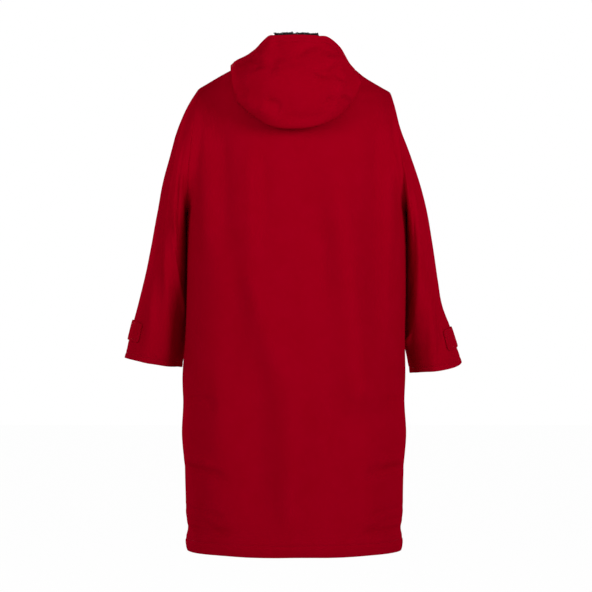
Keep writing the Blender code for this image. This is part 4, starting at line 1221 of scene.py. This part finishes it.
def make_tufts(base, out):
    """Curls of pile along the face edge, thickest at the back where they stand above it."""
    steps = line_lengths(base[:, -1])
    shown = shown_pile(base[:, -1])
    made = []
    for i in range(TUFT_COUNT):
        seed = Vector((i * 1.731, i * 0.377, 4.2))
        spots = [noise.noise(seed + Vector((k * 7.3, 0.5, 0.25))) for k in range(6)]
        place = (i + 0.5 + spots[0]) / TUFT_COUNT * steps[-1]
        column = int(np.clip(np.searchsorted(steps, place), 1, len(steps) - 1))
        root = base[column, -1] - out[column, -1] * (LINING_WALL * (0.5 + 0.5 * spots[1]))
        up = base[column, -1] - base[column, -4]
        up /= np.linalg.norm(up) + 1e-9
        side = np.cross(out[column, -1], up)
        if shown[column] < 0.05:
            continue
        reach = TUFT[0] * (0.75 + 0.45 * spots[2]) * (0.35 + 0.65 * shown[column])
        turn = spots[3] * 3.0
        curl = side * math.cos(turn) * 0.9 + out[column, -1] * math.sin(turn) * 0.7
        t = np.linspace(0, 1, 5)[:, None]
        path = (root - up * (1.2 + 1.6 * (1 - shown[column])) * MM
                + up * reach * np.sin(t * 2.1) * 0.75 + curl * reach * 0.5 * (1 - np.cos(t * 2.6)))
        made.append(tube(path, TUFT[1] * (1 + 0.3 * spots[4])))
    piece = join_all("hood_pile_edge", made, PILE)
    mounted(piece)
    return piece


def make_tab(side, name):
    """A hook-and-loop strap round the outer side of the cuff, stitched round its edge."""
    columns, rows = TAB_GRID
    mid = rows // 2
    turns = np.linspace(*TAB_TURNS, columns)
    base = sleeve_points(side, turns[:, None] % 360, np.linspace(*TAB_REACH[side], rows)[None, :])
    around = lengths_across(base)[:, mid]
    length = around[-1]
    near_end = np.minimum(around, length - around)
    share = np.clip(1 - near_end / TAB_CORNER, 0, 1)
    half = np.linalg.norm(base[:, -1] - base[:, 0], axis=1) / 2
    kept = (half - TAB_CORNER * (1 - np.sqrt(1 - share ** 2))) / half
    middle = base[:, mid:mid + 1]
    points = middle + (base - middle) * kept[:, None, None]
    normals = grid_normals(base, side > 0)
    centre = (sleeve_points(side, 0.0, TAB_MIDDLE) + sleeve_points(side, 180.0, TAB_MIDDLE)) / 2
    if np.sum((base - centre) * normals) < 0:
        normals = -normals
    from_middle = np.abs(np.linspace(-1, 1, rows))
    edge = np.minimum(near_end[:, None], half[:, None] * (1 - from_middle)[None, :])
    swell = (0.5 * MM * smooth_step(edge, 0.0, 3.5 * MM)
             - 0.35 * MM * np.exp(-((edge - TAB_STITCH_INSET) / (1.2 * MM)) ** 2))
    wall = TAB_WALL - 0.5 * MM
    top = points + normals * (TAB_SEAT + wall + swell)[..., None]
    flip = np.sum(grid_normals(top, False) * normals) < 0
    piece = shell(name + "_strap", top, normals, wall, bool(flip), (SHELL, THREAD), inner_lift=swell)
    dress(piece, name)
    inset = TAB_STITCH_INSET / half[len(half) // 2]
    a = int(np.searchsorted(around, TAB_STITCH_INSET))
    b = int(np.searchsorted(around, length - TAB_STITCH_INSET))
    made = []
    for at in (inset - 1, 1 - inset):
        k = (at + 1) / 2 * (rows - 1)
        j, f = int(k), k - int(k)
        line = top[a:b + 1, j] * (1 - f) + top[a:b + 1, j + 1] * f
        made += stitches(line, normals[a:b + 1, j])
    j = int(round(inset * mid))
    for i in (a, b):
        made += stitches(top[i, j:rows - j], normals[i, j:rows - j])
    sewn = join_all(name + "_stitches", made, THREAD)
    mounted(sewn)
    return piece, sewn


def centre_line():
    """The middle of the front from the zip's foot to the neck, and its outward directions."""
    low = body_points(180.0, np.arange(ZIP_LOW_Z, UNDERARM_Z - 2 * MM, 5 * MM))
    ups = np.linspace(0, 1, YOKE_STEPS + 1)
    high = yoke_points(1, -1, np.ones_like(ups), spread_up(np.ones_like(ups), ups))
    points = np.concatenate([low, high])
    points[:, 0] = 0.0
    up = np.gradient(points, axis=0)
    normals = np.stack([0 * up[:, 0], -up[:, 2], up[:, 1]], -1)
    return points, unit(normals)


def part_of(points, normals, start, end, count):
    """Even places on a line between two lengths along it."""
    steps = line_lengths(points)
    wanted = np.linspace(start, steps[-1] - end, count)
    return read_line(steps, points, wanted), unit(read_line(steps, normals, wanted))


def make_tapes(points, normals):
    """Both tapes, behind the fronts' edges."""
    line, out = part_of(points, normals, 0.0, ZIP_TOP_INSET, TAPE_ROWS)
    depth = WALL + SEAM_GAP
    near = CHAIN_WIDTH / 2 + TAPE_GAP
    shares = np.linspace(0, 1, TAPE_COLUMNS)
    facing = np.repeat(out[None], TAPE_COLUMNS, axis=0)
    tapes = []
    for side, name in ((1, "zip_tape_left"), (-1, "zip_tape_right")):
        aside = (side * (near + TAPE_WIDTH * shares))[:, None, None]
        grid = (line[None] + np.array((1.0, 0, 0)) * aside
                - out[None] * (TAPE_SINK * shares + depth)[:, None, None])
        flip = np.sum(grid_normals(grid, False) * facing) < 0
        piece = shell(name + "_cloth", grid, facing, TAPE_WALL, bool(flip), (TAPE, TAPE))
        dress(piece, name)
        tapes.append(piece)
    return tapes


def make_teeth(points, normals):
    """The closed teeth in the slot between the fronts, left and right by turns."""
    depth = WALL + SEAM_GAP
    length = np.linalg.norm(np.diff(points, axis=0), axis=1).sum()
    top_inset = ZIP_TOP_INSET + SLIDER_LENGTH + CHAIN_END_GAP + 1.5 * MM
    line, out = part_of(points, normals, 1.5 * MM, top_inset, int(length / TOOTH_PITCH * 2) - 14)
    n = len(TOOTH_OUTLINE)
    made = []
    for i, (place, away) in enumerate(zip(line, out)):
        side = 1 if i % 2 else -1
        up = np.cross((1.0, 0, 0), away)
        ring = [np.array((side * x * MM, 0, 0)) + up * (z * MM) for x, z in TOOTH_OUTLINE]
        shrink = [np.array((side * (0.35 + x * 0.86) * MM, 0, 0)) + up * (z * 0.8 * MM)
                  for x, z in TOOTH_OUTLINE]
        levels = ((ring, -depth - 0.9 * MM), (ring, -depth + 1.0 * MM), (shrink, -depth + 1.5 * MM))
        verts = np.array([place + v + away * h for level, h in levels for v in level])
        faces = [tuple(range(n))[::-1], tuple(range(2 * n, 3 * n))]
        for a in (0, n):
            faces += [(a + k, a + (k + 1) % n, a + n + (k + 1) % n, a + n + k) for k in range(n)]
        if side < 0:
            faces = [face[::-1] for face in faces]
        made.append((verts, faces))
    teeth = join_all("zip_chain_teeth", made, TEETH)
    teeth.data.polygons.foreach_set("use_smooth", np.zeros(len(teeth.data.polygons), bool))
    dress(teeth, "zip_chain")


def make_stitching():
    """The rows of stitching at the hem, cuffs, hood edge and zip."""
    made, sewn = [], []
    for panel_name in BODY_PANELS:
        panel = body_cloth.panels[panel_name]
        row = int(np.argmin(np.abs(panel["points"][0, :, 2] - HEM_Z - HEM_BAND)))
        made += stitches(panel["points"][1:-1, row], panel["normals"][1:-1, row])
        if panel_name != "back":
            order = 1 if panel_name == "front_left" else -1
            edge, out = (panel[key][::order].swapaxes(0, 1) for key in ("points", "normals"))
            line, away = line_from_end(edge, out, ZIP_STITCH_INSET)
            made += stitches(line[1:-1], away[1:-1])
    sewn.append(join_all("hem_stitches", made, THREAD))
    for panel_name in SLEEVE_PANELS:
        panel = body_cloth.panels[panel_name]
        line, out = line_from_end(panel["points"][:-1], panel["normals"][:-1], CUFF_BAND)
        sewn.append(join_all(panel_name + "_stitches", stitches(line, out, True), THREAD))
    points, normals = whole_hood()
    made = []
    for distance in (HOOD_BAND, HOOD_BAND / 2):
        line, out = line_from_end(points, normals, distance)
        made += stitches(line[1:-1], out[1:-1])
    sewn.append(join_all("hood_stitches", made, THREAD))
    for piece in sewn:
        mounted(piece)
    return sewn


lining, lining_base, lining_out = make_lining()
pile_edge = make_tufts(lining_base, lining_out)
left_tab, left_tab_sewn = make_tab(1, "cuff_tab_left")
right_tab, right_tab_sewn = make_tab(-1, "cuff_tab_right")
zip_line = centre_line()
left_tape, right_tape = make_tapes(*zip_line)
make_teeth(*zip_line)
hem_sewn, left_cuff_sewn, right_cuff_sewn, hood_sewn = make_stitching()

for name, width in (("zip_slider", 0.45 * MM), ("zip_pull", 0.25 * MM)):
    casting = bpy.data.objects[name]
    casting.data.materials.clear()
    casting.data.materials.append(METAL)
    rounding = casting.modifiers.new("rounding", "BEVEL")
    rounding.width = width
    rounding.segments = 3
    rounding.limit_method = "ANGLE"

# ---------------------------------------------------------------- studio

CAMERA_PLACE = (-0.0037, 3.0, -0.4144)
PHOTO_WIDTH_AT_ROBE = 1.0952    # metres that the frame spans at the robe's middle
FLOOR_Z = -1.13
ROOM = 0.165
KEY = 18.2
FILL = 12.6
AHEAD = 4.6
SPREAD = 105.0                  # degrees; turned up a little, so their light falls off to the hem


def make_camera():
    """Level with the robe's middle, behind it, as the photo was taken."""
    data = bpy.data.cameras.new("camera")
    data.sensor_width = 36.0
    data.lens = 36.0 * CAMERA_PLACE[1] / PHOTO_WIDTH_AT_ROBE
    camera = bpy.data.objects.new("camera", data)
    camera.location = CAMERA_PLACE
    camera.rotation_euler = (math.radians(90), 0, math.radians(180))
    bpy.context.scene.collection.objects.link(camera)
    bpy.context.scene.camera = camera


def seen_white(tree, shade, amount):
    """A shader that the camera sees as white by the stated share, and that lights as it is."""
    white = node(tree, "ShaderNodeEmission", Strength=1.0)
    path = tree.nodes.new("ShaderNodeLightPath")
    share = math_node(tree, "MULTIPLY", path.outputs["Is Camera Ray"], amount)
    mix = tree.nodes.new("ShaderNodeMixShader")
    tree.links.new(share, mix.inputs[0])
    tree.links.new(shade, mix.inputs[1])
    tree.links.new(white.outputs[0], mix.inputs[2])
    return mix.outputs[0]


def make_floor():
    """A plain pale floor."""
    material, tree, shader = new_material("floor", (0.85, 0.85, 0.85), 0.9)
    shader.inputs["Specular IOR Level"].default_value = 0.0
    tree.links.new(seen_white(tree, shader.outputs[0], 0.985),
                   tree.nodes["Material Output"].inputs["Surface"])
    half = 6.0
    corners = [(-half, -half, FLOOR_Z), (half, -half, FLOOR_Z), (half, half, FLOOR_Z), (-half, half, FLOOR_Z)]
    mesh = bpy.data.meshes.new("floor")
    mesh.from_pydata(corners, [], [(0, 1, 2, 3)])
    mesh.materials.append(material)
    floor = bpy.data.objects.new("floor", mesh)
    bpy.context.scene.collection.objects.link(floor)


def area_light(name, place, aim, size, power):
    """A square soft light turned towards a place."""
    data = bpy.data.lights.new(name, "AREA")
    data.shape = "SQUARE"
    data.size = size
    data.energy = power
    data.spread = math.radians(SPREAD)
    light = bpy.data.objects.new(name, data)
    light.location = place
    light.rotation_euler = (Vector(place) - Vector(aim)).to_track_quat("Z", "Y").to_euler()
    bpy.context.scene.collection.objects.link(light)


def make_lights():
    """A white room and soft lights high at both sides, one stronger, and a weak one ahead."""
    world = bpy.data.worlds.new("room")
    bpy.context.scene.world = world
    world.use_nodes = True
    tree = world.node_tree
    background = tree.nodes["Background"]
    background.inputs["Color"].default_value = (1.0, 1.0, 1.0, 1.0)
    background.inputs["Strength"].default_value = ROOM
    white = node(tree, "ShaderNodeBackground", Strength=1.0)
    white.inputs["Color"].default_value = (1.0, 1.0, 1.0, 1.0)
    path = tree.nodes.new("ShaderNodeLightPath")
    mix = tree.nodes.new("ShaderNodeMixShader")
    tree.links.new(path.outputs["Is Camera Ray"], mix.inputs[0])
    tree.links.new(background.outputs[0], mix.inputs[1])
    tree.links.new(white.outputs[0], mix.inputs[2])
    tree.links.new(mix.outputs[0], tree.nodes["World Output"].inputs["Surface"])
    for facing, name in ((1, ""), (-1, "front_")):
        area_light(name + "key", (facing * -2.0, facing * 2.0, 0.20), (0, 0, 0.32), 1.1, KEY)
        area_light(name + "fill", (facing * 2.0, facing * 2.0, 0.20), (0, 0, 0.32), 1.2, FILL)
        area_light(name + "ahead", (0, facing * 3.2, 0.30), (0, 0, 0.30), 1.6, AHEAD)


make_camera()
make_floor()
make_lights()
bpy.context.scene.view_settings.view_transform = "Standard"
